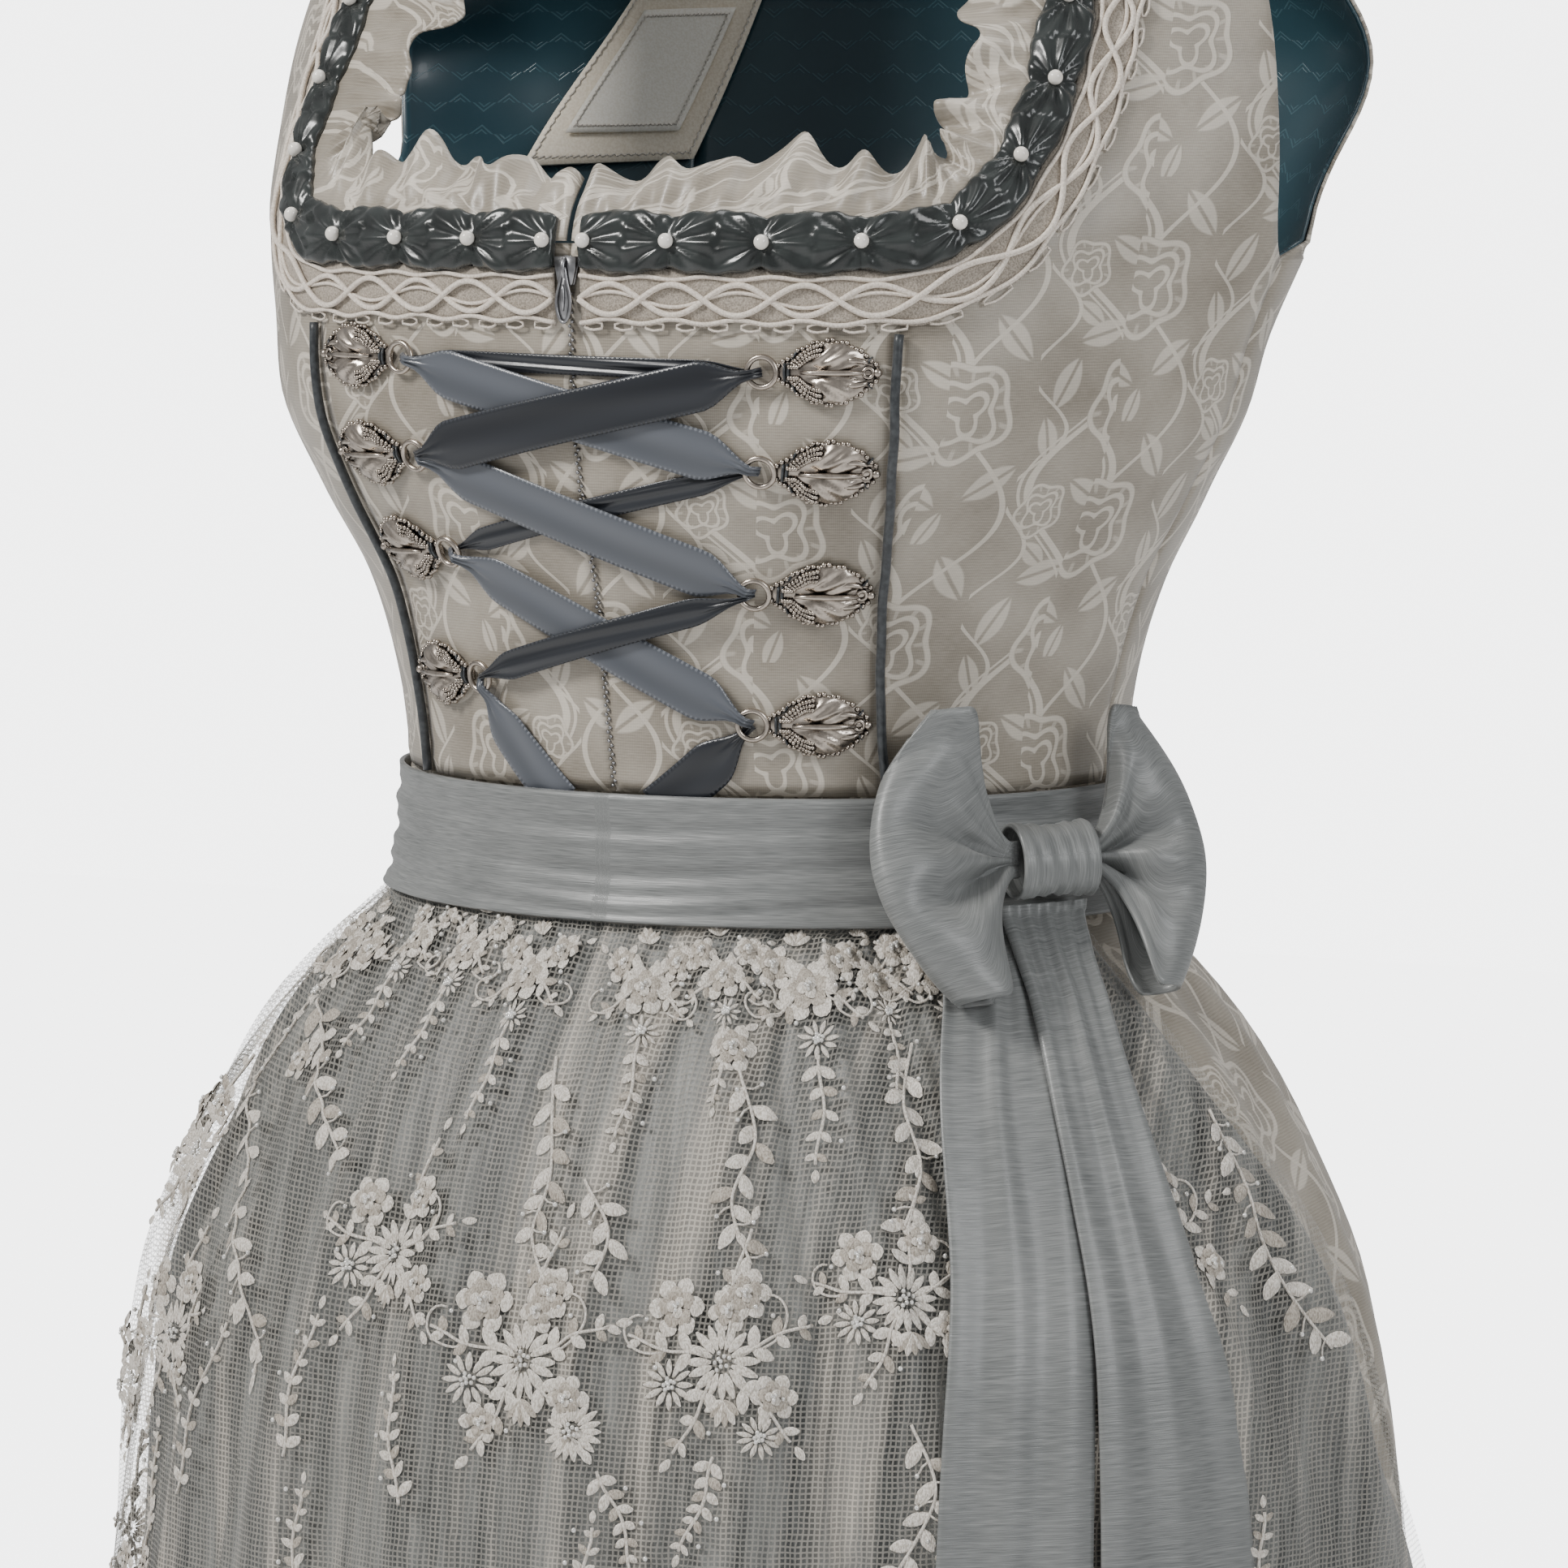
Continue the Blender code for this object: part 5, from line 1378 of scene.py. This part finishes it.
def make_zip():
    """The coil of the zip, its slider and its drop-shaped pull."""
    teeth = []
    for n in range(118):
        centre = surface(SASH_TOP + 2.0 + 1.4 * n, 0.0, -0.1)
        teeth.append(ball_mesh(centre + Vector((0.45 if n % 2 else -0.45, 0.0, 0.0)), 0.62, 4, 6))
    dress(join_meshes("zip_coil", teeth, [looks["zip_metal"]]), "zip_metal")

    def front(x, down, out):
        y = surface(ZIP_TOP - 5.0, 0.0, out).y
        return Vector((x, y, ZIP_TOP - down - SHOULDER_HEIGHT))

    def plate(lows, highs):
        count = len(lows)
        faces = [tuple(range(count - 1, -1, -1)), tuple(range(count, 2 * count))]
        faces += [(k, (k + 1) % count, count + (k + 1) % count, count + k) for k in range(count)]
        return lows + highs, faces

    half = ((-SLIDER_HALF, 0.0), (-SLIDER_HALF * 0.92, 3.5), (-2.5, 8.6), (-1.0, 9.0))
    outline = half + tuple((-x, down) for x, down in reversed(half))
    body = [plate([front(x, down, low) for x, down in outline],
                  [front(x * 0.94, down * 0.97 + 0.1, high) for x, down in outline])
            for low, high in ((0.6, 1.2), (1.9, SLIDER_RISE - 0.7))]
    bridge = ((0.8, 2.4), (0.9, 3.3), (2.4, 4.1), (4.4, 4.1), (6.2, 3.3), (6.3, 2.4))
    body.append(tube_mesh([front(0.0, down, out) for down, out in bridge], 0.75, 8))
    body.append(tube_mesh([front(0.0, 1.0, out) for out in (1.0, 2.2)], 1.4, 8))
    outline = []
    for b in turns(28):
        share = 0.5 - 0.5 * cos(b)
        wide = (1.1 + 1.6 * slope(0.1, 0.75, share)) * (1.0 if abs(sin(b)) > 0.2 else 0.9)
        outline.append((wide * sin(b), 3.0 + PULL_LENGTH * share))
    hole = [(0.75 * cos(b), 5.0 - 1.3 * sin(b)) for b in turns(12)]
    rib = (8.5, 10.0, 13.0, 16.5)
    pull = [tube_mesh([front(x, down, SLIDER_RISE + 0.2) for x, down in shape], wire, sides, True)
            for shape, wire, sides in ((outline, 0.55, 6), (hole, 0.3, 5))]
    pull.append(plate(*([front(x * 0.95, down, SLIDER_RISE + out) for x, down in outline]
                        for out in (-0.15, 0.4))))
    pull.append(tube_mesh([front(0.0, down, SLIDER_RISE + 0.55) for down in rib],
                          (0.3, 0.55, 0.8, 0.4), 6))
    for node, parts, body_name in (("zip_slider", body, "garment"), ("zip_pull", pull, "pull_tab")):
        made = join_meshes("fine_" + node, parts, [looks["zip_metal"]])
        settle_normals(made)
        dress(made, "zip_metal", node, body=body_name)


def outside_of(point, out, least):
    """The point moved outwards until it is clear of the apron, in quarter millimetres."""
    height = point.z + SHOULDER_HEIGHT
    width, depth = read(SECTIONS, round(height, 1), 1), read(SECTIONS, round(height, 1), 2)
    for step in range(240):
        if (hypot(point.x / width, point.y / depth) - 1.0) * depth >= least:
            return point
        point = point + 0.25 * out
    return point


def loop_point(side, t, s, centre, along, up, out):
    """A place on a bow loop: t runs round the loop and s across it, from -1 to 1."""
    reach, lift = along_table(LOOP_PATH, t)
    open_share = slope(15.0, 46.0, reach)
    half = 5.35 + 39.2 * open_share ** 0.7
    length = 1.0 if side < 0.0 else 1.0 - 0.2 * slope(16.0, 40.0, reach)
    outer = 1.0 - slope(0.5, 0.75, t)
    pleat = 1.9 * cos(3.0 * pi * s) * slope(10.0, 24.0, reach) * (1.0 - open_share)
    fan = slope(13.0, 22.0, reach) * slope(66.0, 34.0, reach)
    pleat += 1.2 * fan * sin(7.5 * s + 1.4 * side + 0.05 * reach) * outer
    pleat += 0.8 * fan * sin(15.0 * s + 2.0 + 0.04 * reach)
    for at_s, wide, deep in LOOP_VALLEYS[side]:
        share = (s - at_s * (0.35 + 0.011 * reach)) / (wide * (0.6 + 0.012 * reach))
        pleat -= deep * exp(-share ** 2) * fan * outer
    pull = length * reach * (1.0 - 0.34 * s * s * slope(16.0, 46.0, reach))
    point = centre + side * pull * along + s * half * up + (lift + pleat) * out
    soft = 1.6 * noise.noise(point * 0.035) * slope(20.0, 45.0, reach)
    return outside_of(point + soft * out, out, 15.0)


def make_bow():
    """Two pleated loops and the knot round their middle."""
    centre, along, up, out = bow_frame()
    for side, word in ((-1.0, "right"), (1.0, "left")):
        middle = [[loop_point(side, i / 72.0, n / 24.0 - 1.0, centre, along, up, out)
                   for n in range(49)] for i in range(73)]
        made = double_wall("fine_bow_loop_" + word, middle, 1.2, looks["taffeta"], flip=True)
        dress(made, "taffeta", "bow_loop_" + word)
        state(made, 165.0, 92.0)
    rows = []
    for i in range(25):
        reach = KNOT_HALF * (i / 12.0 - 1.0)
        swell = 1.0 + 0.12 * abs(reach) / KNOT_HALF
        ring = []
        for b in turns(60):
            crimp = 0.35 * sin(reach * 1.1 + 1.2 * sin(b)) + 0.2 * sin(reach * 2.6 + 2.0 * b)
            ring.append(centre + reach * along + (10.2 * swell + crimp) * sin(b) * up
                        + (7.8 * swell + crimp) * cos(b) * out)
        rows.append(ring)
    made = double_wall("fine_bow_knot", rows, 1.2, looks["taffeta"], closed=True)
    dress(made, "taffeta", "bow_knot")
    state(made, 62.0, 2.0 * KNOT_HALF + 8.0)


def make_tails():
    """The two ends of the bow, which hang down over the apron."""
    for name, table, seed in (("bow_tail_right", TAIL_BACK, 1.0),
                              ("bow_tail_left", TAIL_FRONT, 6.0)):
        grid, spread = [], []
        for i in range(111):
            height, middle, width, rest = along_table(table, i / 110.0)
            scale = mm_per_degree(height, middle)
            grid.append([(height, middle + width / scale * (n / 36.0 - 0.5)) for n in range(37)])
            spread.append(rest)

        def high(i, j, height, angle):
            x = j / 36.0
            grow = slope(-2.0, -60.0, height)
            tight = slope(-120.0, -8.0, height)
            folds = 0.9 * grow * sin(2.0 * pi * x * 2.5 + seed)
            folds += 0.9 * tight * sin(2.0 * pi * x * 4.5 + seed * 2.0)
            soft = 1.6 * grow * noise.noise(Vector((x * 1.5, height * 0.011, seed)))
            return spread[i] + BOW_CLOTH + 0.5 + folds * 0.8 + soft * 0.7

        made = wall_mesh("fine_" + name, grid, below(high, 0.9), high, looks["taffeta"])
        dress(made, "taffeta", name)
        length = (surface(table[-1][0], 50.0) - surface(table[0][0], 50.0)).length
        state(made, 92.0, length * 1.04)


def label_grid(margin, steps):
    """Places over the label, inside a margin given as a share of it."""
    shares = [margin + (1.0 - 2.0 * margin) * i / steps for i in range(steps + 1)]
    return [[tuple((1 - t) * ((1 - s) * LABEL[0][0][c] + s * LABEL[0][1][c])
                   + t * ((1 - s) * LABEL[1][0][c] + s * LABEL[1][1][c]) for c in (0, 1))
             for s in shares] for t in shares]


def make_label():
    """The bare label and its bare patch, with their zigzag stitching."""
    for name, margin, low, high, look in (
            ("label", 0.0, LINING_FACE - 3.0, LINING_FACE - 2.1, "canvas"),
            ("label_patch", 0.16, LINING_FACE - 4.9, LINING_FACE - 4.0, "canvas_pale")):
        grid = label_grid(margin, 16)
        made = wall_mesh("fine_" + name, grid, low, high, looks[look])
        dress(made, "canvas", name)
        cut(made, grid)
        inner = label_grid(margin + 0.03, 44)
        rim = inner[0] + [row[-1] for row in inner[1:]] + inner[-1][-2::-1]
        rim += [row[0] for row in inner[-2:0:-1]]
        middle = inner[22][22]
        line = []
        for n, place in enumerate(rim):
            pull = 0.03 * (n % 2)
            line.append(surface(*(p + (m - p) * pull for p, m in zip(place, middle)), low - 0.15))
        made = join_meshes("stitches_" + name, [tube_mesh(line, 0.32, 5, True)], [looks["thread"]])
        dress(made, "canvas")


for trim_side, trim_word in ((1.0, "left"), (-1.0, "right")):
    make_ruffle(trim_side, trim_word)
    make_ruche(trim_side, trim_word)
    make_gimp(trim_side, trim_word)
    for hook_level in range(len(HOOK_ROWS)):
        make_hook(hook_level, trim_side, trim_word)
make_piping()
make_lacing()
make_zip()
make_bow()
make_tails()
make_label()


class Stitchery:
    """Raised embroidery on the net, gathered into one mesh."""

    def __init__(self):
        self.parts = []
        self.slots = []
        self.random = random.Random(11)

    def at(self, place, dx, dy, lift):
        """A point on the net, a few millimetres from a place and above the threads."""
        height = round(min(-1.5, place[0] + dy), 2)
        angle = round(place[1] + dx / mm_per_degree(*place), 2)
        share = min(0.999, max(0.001, 0.5 + 0.5 * angle / read(APRON_EDGE, height)))
        return surface(height, angle, net_out(height, angle, share) + lift)

    def add(self, part, slot=0):
        """Keep a part, unless the bow's tails cover it."""
        first = part[0][0]
        height = max(-500.0, first.z + SHOULDER_HEIGHT)
        width, depth = read(SECTIONS, round(height), 1), read(SECTIONS, round(height), 2)
        angle = degrees(atan2(first.x / width, -first.y / depth))
        left, right = (read(table, height) for table in UNDER_TAILS)
        if height > -500.0 and left < angle < right:
            return
        self.parts.append(part)
        self.slots.append(slot)

    def petal(self, place, dx, dy, turn, long, wide, lift=0.5, slot=0, puff=0.9):
        """A padded petal or leaf that starts at an offset and points along a turn."""
        c, s = cos(radians(turn)), sin(radians(turn))
        points = []
        for i in range(6):
            t = i / 5.0
            half = wide * (sin(pi * (0.06 + 0.9 * t)) ** 0.75)
            for x in (-1.0, 0.0, 1.0):
                u = long * t
                v = half * x
                rise = lift + puff * sin(pi * (0.12 + 0.8 * t)) * (1.0 if x == 0.0 else 0.1)
                points.append(self.at(place, dx + u * c - v * s, dy + u * s + v * c, rise))
        faces = []
        for i in range(5):
            for j in range(2):
                a = 3 * i + j
                faces.append((a, a + 1, a + 4, a + 3))
        self.add((points, faces), slot)

    def bead(self, place, dx, dy, lift=0.9, size=0.85):
        self.add(ball_mesh(self.at(place, dx, dy, lift), size, 4, 6), 2)

    def beads(self, place, dx, dy, spread, count, size=0.8, lift=1.5):
        for n in range(count):
            b = 2.4 * n
            r = spread * (n / max(1, count)) ** 0.5
            self.bead(place, dx + r * cos(b), dy + r * sin(b), lift, size)

    def daisy(self, place, dx=0.0, dy=0.0, size=8.0, petals=15):
        for n in range(petals):
            b = 360.0 * n / petals + 4.0 * self.random.random()
            self.petal(place, dx + 0.3 * size * cos(radians(b)), dy + 0.3 * size * sin(radians(b)),
                       b, size * (0.62 + 0.1 * self.random.random()), size * 0.115, 0.5, 0, 0.8)
        self.beads(place, dx, dy, size * 0.26, 9, 0.75)

    def rose(self, place, dx=0.0, dy=0.0, size=7.0):
        for ring, (count, near, long, wide, lift) in enumerate(
                ((6, 0.42, 0.60, 0.34, 0.4), (5, 0.18, 0.52, 0.29, 1.0), (3, 0.0, 0.38, 0.2, 1.6))):
            for n in range(count):
                b = 360.0 * n / count + 25.0 * ring + 8.0 * self.random.random()
                c, s = cos(radians(b)), sin(radians(b))
                self.petal(place, dx + near * size * c, dy + near * size * s, b, long * size,
                           wide * size, lift, 0 if ring != 1 else 1, 0.9)
        self.beads(place, dx, dy, size * 0.16, 4, 0.7, 2.6)

    def line(self, place, offsets, radius=0.5, slot=0, lift=0.7):
        self.add(tube_mesh([self.at(place, x, y, lift) for x, y in offsets], radius, 5), slot)

    def tendril(self, place, dx, dy, turn, size, way=1.0):
        """A curl that ends in a bead."""
        points = []
        x, y, b = dx, dy, radians(turn)
        for n in range(15):
            points.append((x, y))
            x += size * 0.12 * cos(b)
            y += size * 0.12 * sin(b)
            b += way * 0.09 * (1.0 + n * 0.32)
        self.line(place, points, 0.42)
        self.bead(place, x, y, 1.1, 0.8)

    def sprig(self, place, turn, length, pairs, leaf_mm=6.6, bend=0.4, dx=0.0, dy=0.0):
        """A stem with pairs of leaves, buds and a tip."""
        points = []
        marks = []
        x, y, b = dx, dy, radians(turn)
        steps = pairs * 4
        for n in range(steps + 1):
            points.append((x, y))
            if n % 4 == 2:
                marks.append((x, y, b))
            x += length / steps * cos(b)
            y += length / steps * sin(b)
            b += bend / steps * 2.0 * cos(2.2 * pi * n / steps)
        self.line(place, points, 0.55)
        for k, (px, py, b) in enumerate(marks):
            grow = 1.0 - 0.45 * k / max(1, len(marks))
            for way in (-1.0, 1.0):
                lean = degrees(b) + way * (48.0 + 12.0 * self.random.random())
                self.petal(place, px, py, lean, leaf_mm * grow * (0.85 + 0.3 * self.random.random()),
                           leaf_mm * 0.29 * grow, 0.5, int((k + int(way > 0.0)) % 3 == 2))
            if k % 2:
                lean = b + 1.3
                self.bead(place, px + 5.5 * cos(lean), py + 5.5 * sin(lean))
        self.petal(place, x, y, degrees(b), leaf_mm * 0.7, leaf_mm * 0.2)

    def fan(self, place, dx, dy, turn, spread, count, leaf_mm=6.0):
        for n in range(count):
            b = turn + spread * (n / (count - 1.0) - 0.5)
            self.petal(place, dx, dy, b, leaf_mm * (0.8 + 0.3 * self.random.random()),
                       leaf_mm * 0.2, 0.5, n % 2)

    def vine(self, stops, leaf_mm=7.4, every=4.4):
        """A vine through several places, with leaves on both sides."""
        count = len(stops) - 1
        dense = [tuple(along_table(stops, n / (count * 12.0))) for n in range(count * 12 + 1)]
        line = [self.at((h, a), 0.0, 0.0, 0.7) for h, a in dense]
        self.add(tube_mesh(line, 0.55, 5))
        run = 0.0
        way = 1.0
        for (h0, a0), (h1, a1), p, q in zip(dense, dense[1:], line, line[1:]):
            run += (q - p).length
            if run >= every:
                run = 0.0
                way = -way
                scale = mm_per_degree(h1, a1)
                b = degrees(atan2(h1 - h0, (a1 - a0) * scale))
                grow = 0.85 + 0.3 * self.random.random()
                self.petal((h1, a1), 0.0, 0.0, b + way * 50.0, leaf_mm * grow, leaf_mm * 0.27,
                           0.5, int(self.random.random() > 0.7))
                if self.random.random() > 0.55:
                    lean = radians(b - way * 70.0)
                    self.line((h1, a1), [(0.0, 0.0), (2.2 * cos(lean), 2.2 * sin(lean)),
                                         (4.6 * cos(lean + 0.2), 4.6 * sin(lean + 0.2))], 0.36)
                    self.bead((h1, a1), 5.2 * cos(lean + 0.2), 5.2 * sin(lean + 0.2))

    def top_spray(self, place, size=1.0):
        """A hanging group of roses and leaves below the waist."""
        self.rose(place, 0.0, -2.0, 7.6 * size)
        self.rose(place, -9.0 * size, 5.0, 5.6 * size)
        self.rose(place, 8.5 * size, 6.0, 5.4 * size)
        self.daisy(place, 2.0, -14.0 * size, 5.0 * size, 11)
        for turn, length in ((150.0, 17.0), (28.0, 17.0), (215.0, 15.0), (-38.0, 16.0)):
            self.sprig(place, turn, length * size, 3, 4.6 * size, 0.8)
        self.sprig(place, -95.0, 26.0 * size, 5, 4.4 * size, 0.7, 2.0, -18.0 * size)
        self.fan(place, -3.0, 11.0, 90.0, 120.0, 7, 5.0 * size)
        self.tendril(place, 8.0, -8.0, -30.0, 9.0 * size)
        self.tendril(place, -8.0, -8.0, 210.0, 9.0 * size, -1.0)

    def cluster(self, place, size=1.0):
        """A big group: two daisies, roses and leaves round them."""
        self.daisy(place, 0.0, 0.0, 8.4 * size, 16)
        self.rose(place, -11.0 * size, 11.0 * size, 6.4 * size)
        self.rose(place, 5.0 * size, 14.0 * size, 5.6 * size)
        self.daisy(place, -12.0 * size, -5.0 * size, 5.8 * size, 12)
        self.rose(place, 11.5 * size, -7.0 * size, 5.0 * size)
        for turn, length in ((75.0, 24.0), (165.0, 18.0), (20.0, 17.0), (-50.0, 18.0),
                             (-120.0, 18.0)):
            self.sprig(place, turn, length * size, 3, 4.8 * size, 0.7, 6.0 * cos(radians(turn)),
                       6.0 * sin(radians(turn)))
        self.fan(place, 1.0, -8.0 * size, -95.0, 110.0, 6, 5.4 * size)
        self.tendril(place, 9.0 * size, 4.0, 30.0, 11.0 * size)
        self.tendril(place, -14.0 * size, 2.0, 190.0, 10.0 * size, -1.0)

    def finish(self, name):
        made = join_meshes(name, self.parts, [looks["thread"], looks["thread_dim"], looks["bead"]],
                           self.slots)
        dress(made, "net")


def embroider():
    """The embroidery that the photo shows, and the rows guessed below it."""
    work = Stitchery()
    for place, size in (((-21.0, -33.0), 0.8), ((-27.0, -9.0), 1.0), ((-28.0, 8.0), 1.0),
                        ((-27.0, 29.0), 1.15), ((-22.0, 46.0), 1.0), ((-30.0, -52.0), 1.0),
                        ((-24.0, 18.0), 0.85), ((-22.0, -21.0), 0.85), ((-24.0, 38.0), 0.75),
                        ((-28.0, 62.0), 0.9)):
        work.top_spray(place, size)
    work.rose((-46.0, 20.0), 0.0, 0.0, 7.0)
    work.rose((-29.0, -43.0), 0.0, 0.0, 6.5)
    work.rose((-62.0, -42.0), 0.0, 0.0, 6.5)
    for stops in (((-50.0, -1.0), (-66.0, 0.5), (-84.0, 2.0), (-100.0, 1.0), (-114.0, 3.5)),
                  ((-52.0, 21.0), (-70.0, 23.0), (-88.0, 21.0), (-106.0, 23.0)),
                  ((-44.0, 41.0), (-60.0, 39.0), (-78.0, 40.0), (-96.0, 37.5)),
                  ((-46.0, -46.0), (-58.0, -38.0), (-72.0, -32.0), (-86.0, -26.0)),
                  ((-73.0, -49.0), (-98.0, -42.0), (-124.0, -35.0), (-152.0, -28.0)),
                  ((-84.0, 6.0), (-98.0, 9.0), (-112.0, 8.0)),
                  ((-70.0, 76.0), (-94.0, 76.5), (-118.0, 77.0), (-140.0, 81.0)),
                  ((-150.0, 37.0), (-170.0, 39.0), (-192.0, 36.0))):
        work.vine(stops)
    for place, size in (((-136.0, 2.0), 1.4), ((-133.0, 20.5), 1.35), ((-116.0, 37.0), 1.15),
                        ((-110.0, -14.0), 1.2), ((-100.0, -60.0), 1.15), ((-104.0, 64.0), 1.15),
                        ((-152.0, 52.0), 1.1), ((-150.0, -48.0), 1.2), ((-176.0, -66.0), 1.1)):
        work.cluster(place, size)
    work.daisy((-155.0, 7.5), 0.0, 0.0, 9.4, 18)
    work.daisy((-154.0, 24.0), 0.0, 0.0, 6.6, 13)
    work.rose((-155.0, -1.5), 0.0, 0.0, 6.4)
    work.rose((-122.0, 3.0), 0.0, 0.0, 6.6)
    work.rose((-119.0, 21.0), 0.0, 0.0, 6.4)
    for place, turn, length in (((-174.0, -22.0), 80.0, 44.0), ((-196.0, -40.0), 70.0, 60.0),
                                ((-166.0, 10.0), -70.0, 34.0), ((-160.0, 20.0), -110.0, 30.0),
                                ((-170.0, 52.0), 95.0, 44.0), ((-182.0, -8.0), 100.0, 40.0)):
        work.sprig(place, turn, length, 7, 5.6, 0.9)
    work.finish("net_embroidery_front")
    more = Stitchery()
    for row in range(3):
        height = -240.0 - 120.0 * row
        for n in range(6):
            angle = -82.0 + 30.0 * n + (14.0 if row % 2 else 0.0)
            more.cluster((height, angle), 1.05)
            more.sprig((height + 26.0, angle + 2.0), 88.0, 32.0, 6, 5.2, 0.9)
            more.sprig((height - 22.0, angle - 2.0), -86.0, 30.0, 6, 5.2, 0.9)
    more.finish("net_embroidery_lower")


embroider()


def add_area(name, place, aim, size, power, color=(1.0, 1.0, 1.0)):
    """A soft studio lamp."""
    data = bpy.data.lights.new(name, "AREA")
    data.size = size
    data.energy = power
    data.color = color
    made = bpy.data.objects.new(name, data)
    made.location = place
    direction = Vector(aim) - Vector(place)
    made.rotation_euler = direction.to_track_quat("-Z", "Y").to_euler()
    bpy.context.scene.collection.objects.link(made)


def make_studio():
    """Pale floor, soft lamps and the camera of the photo."""
    pale_color = (0.95, 0.955, 0.96, 1.0)
    pale = Look("pale_floor", (0.86, 0.86, 0.86), 0.95)
    pale.shader.inputs["Emission Color"].default_value = pale_color
    seen = pale.add("LightPath")
    pale.feed("Emission Strength", Wire(pale.tree, seen.outputs["Is Camera Ray"]) * 4.2 + 0.3)
    floor = make_mesh("floor", [Vector((x, y, -1700.0)) for x, y in
                                ((-9e3, -9e3), (9e3, -9e3), (9e3, 9e3), (-9e3, 9e3))],
                      [(0, 1, 2, 3)], None, [pale.item], None, False)
    world = bpy.data.worlds.new("pale_room")
    bpy.context.scene.world = world
    world.use_nodes = True
    shade = world.node_tree.nodes["Background"]
    shade.inputs[0].default_value = pale_color
    path = add_node(world.node_tree, "LightPath", {})
    strength = add_node(world.node_tree, "MapRange",
                        {0: path.outputs["Is Camera Ray"], 3: 0.42, 4: 5.0})
    world.node_tree.links.new(strength.outputs[0], shade.inputs[1])
    add_area("key", (-1.2, -1.9, 1.5), (0.0, 0.0, -0.45), 0.7, 88.0, (1.0, 0.985, 0.96))
    add_area("fill", (2.3, -0.9, 0.6), (0.0, 0.0, -0.5), 1.0, 26.0, (0.96, 0.98, 1.0))
    add_area("top", (0.2, 0.6, 1.6), (0.0, 0.0, -0.3), 1.0, 16.0)
    distance, half_view = 2.2, 0.253
    data = bpy.data.cameras.new("photo_view")
    data.sensor_width = 36.0
    data.lens = data.sensor_width / 2.0 * distance / half_view
    camera = bpy.data.objects.new("photo_view", data)
    turn, rise = radians(28.0), radians(6.0)
    back = Vector((sin(turn) * cos(rise), -cos(turn) * cos(rise), sin(rise)))
    aim = Vector((0.005 * cos(turn), 0.005 * sin(turn), -0.375))
    camera.location = aim + distance * back
    camera.rotation_euler = (-back).to_track_quat("-Z", "Y").to_euler()
    bpy.context.scene.collection.objects.link(camera)
    bpy.context.scene.camera = camera


make_studio()
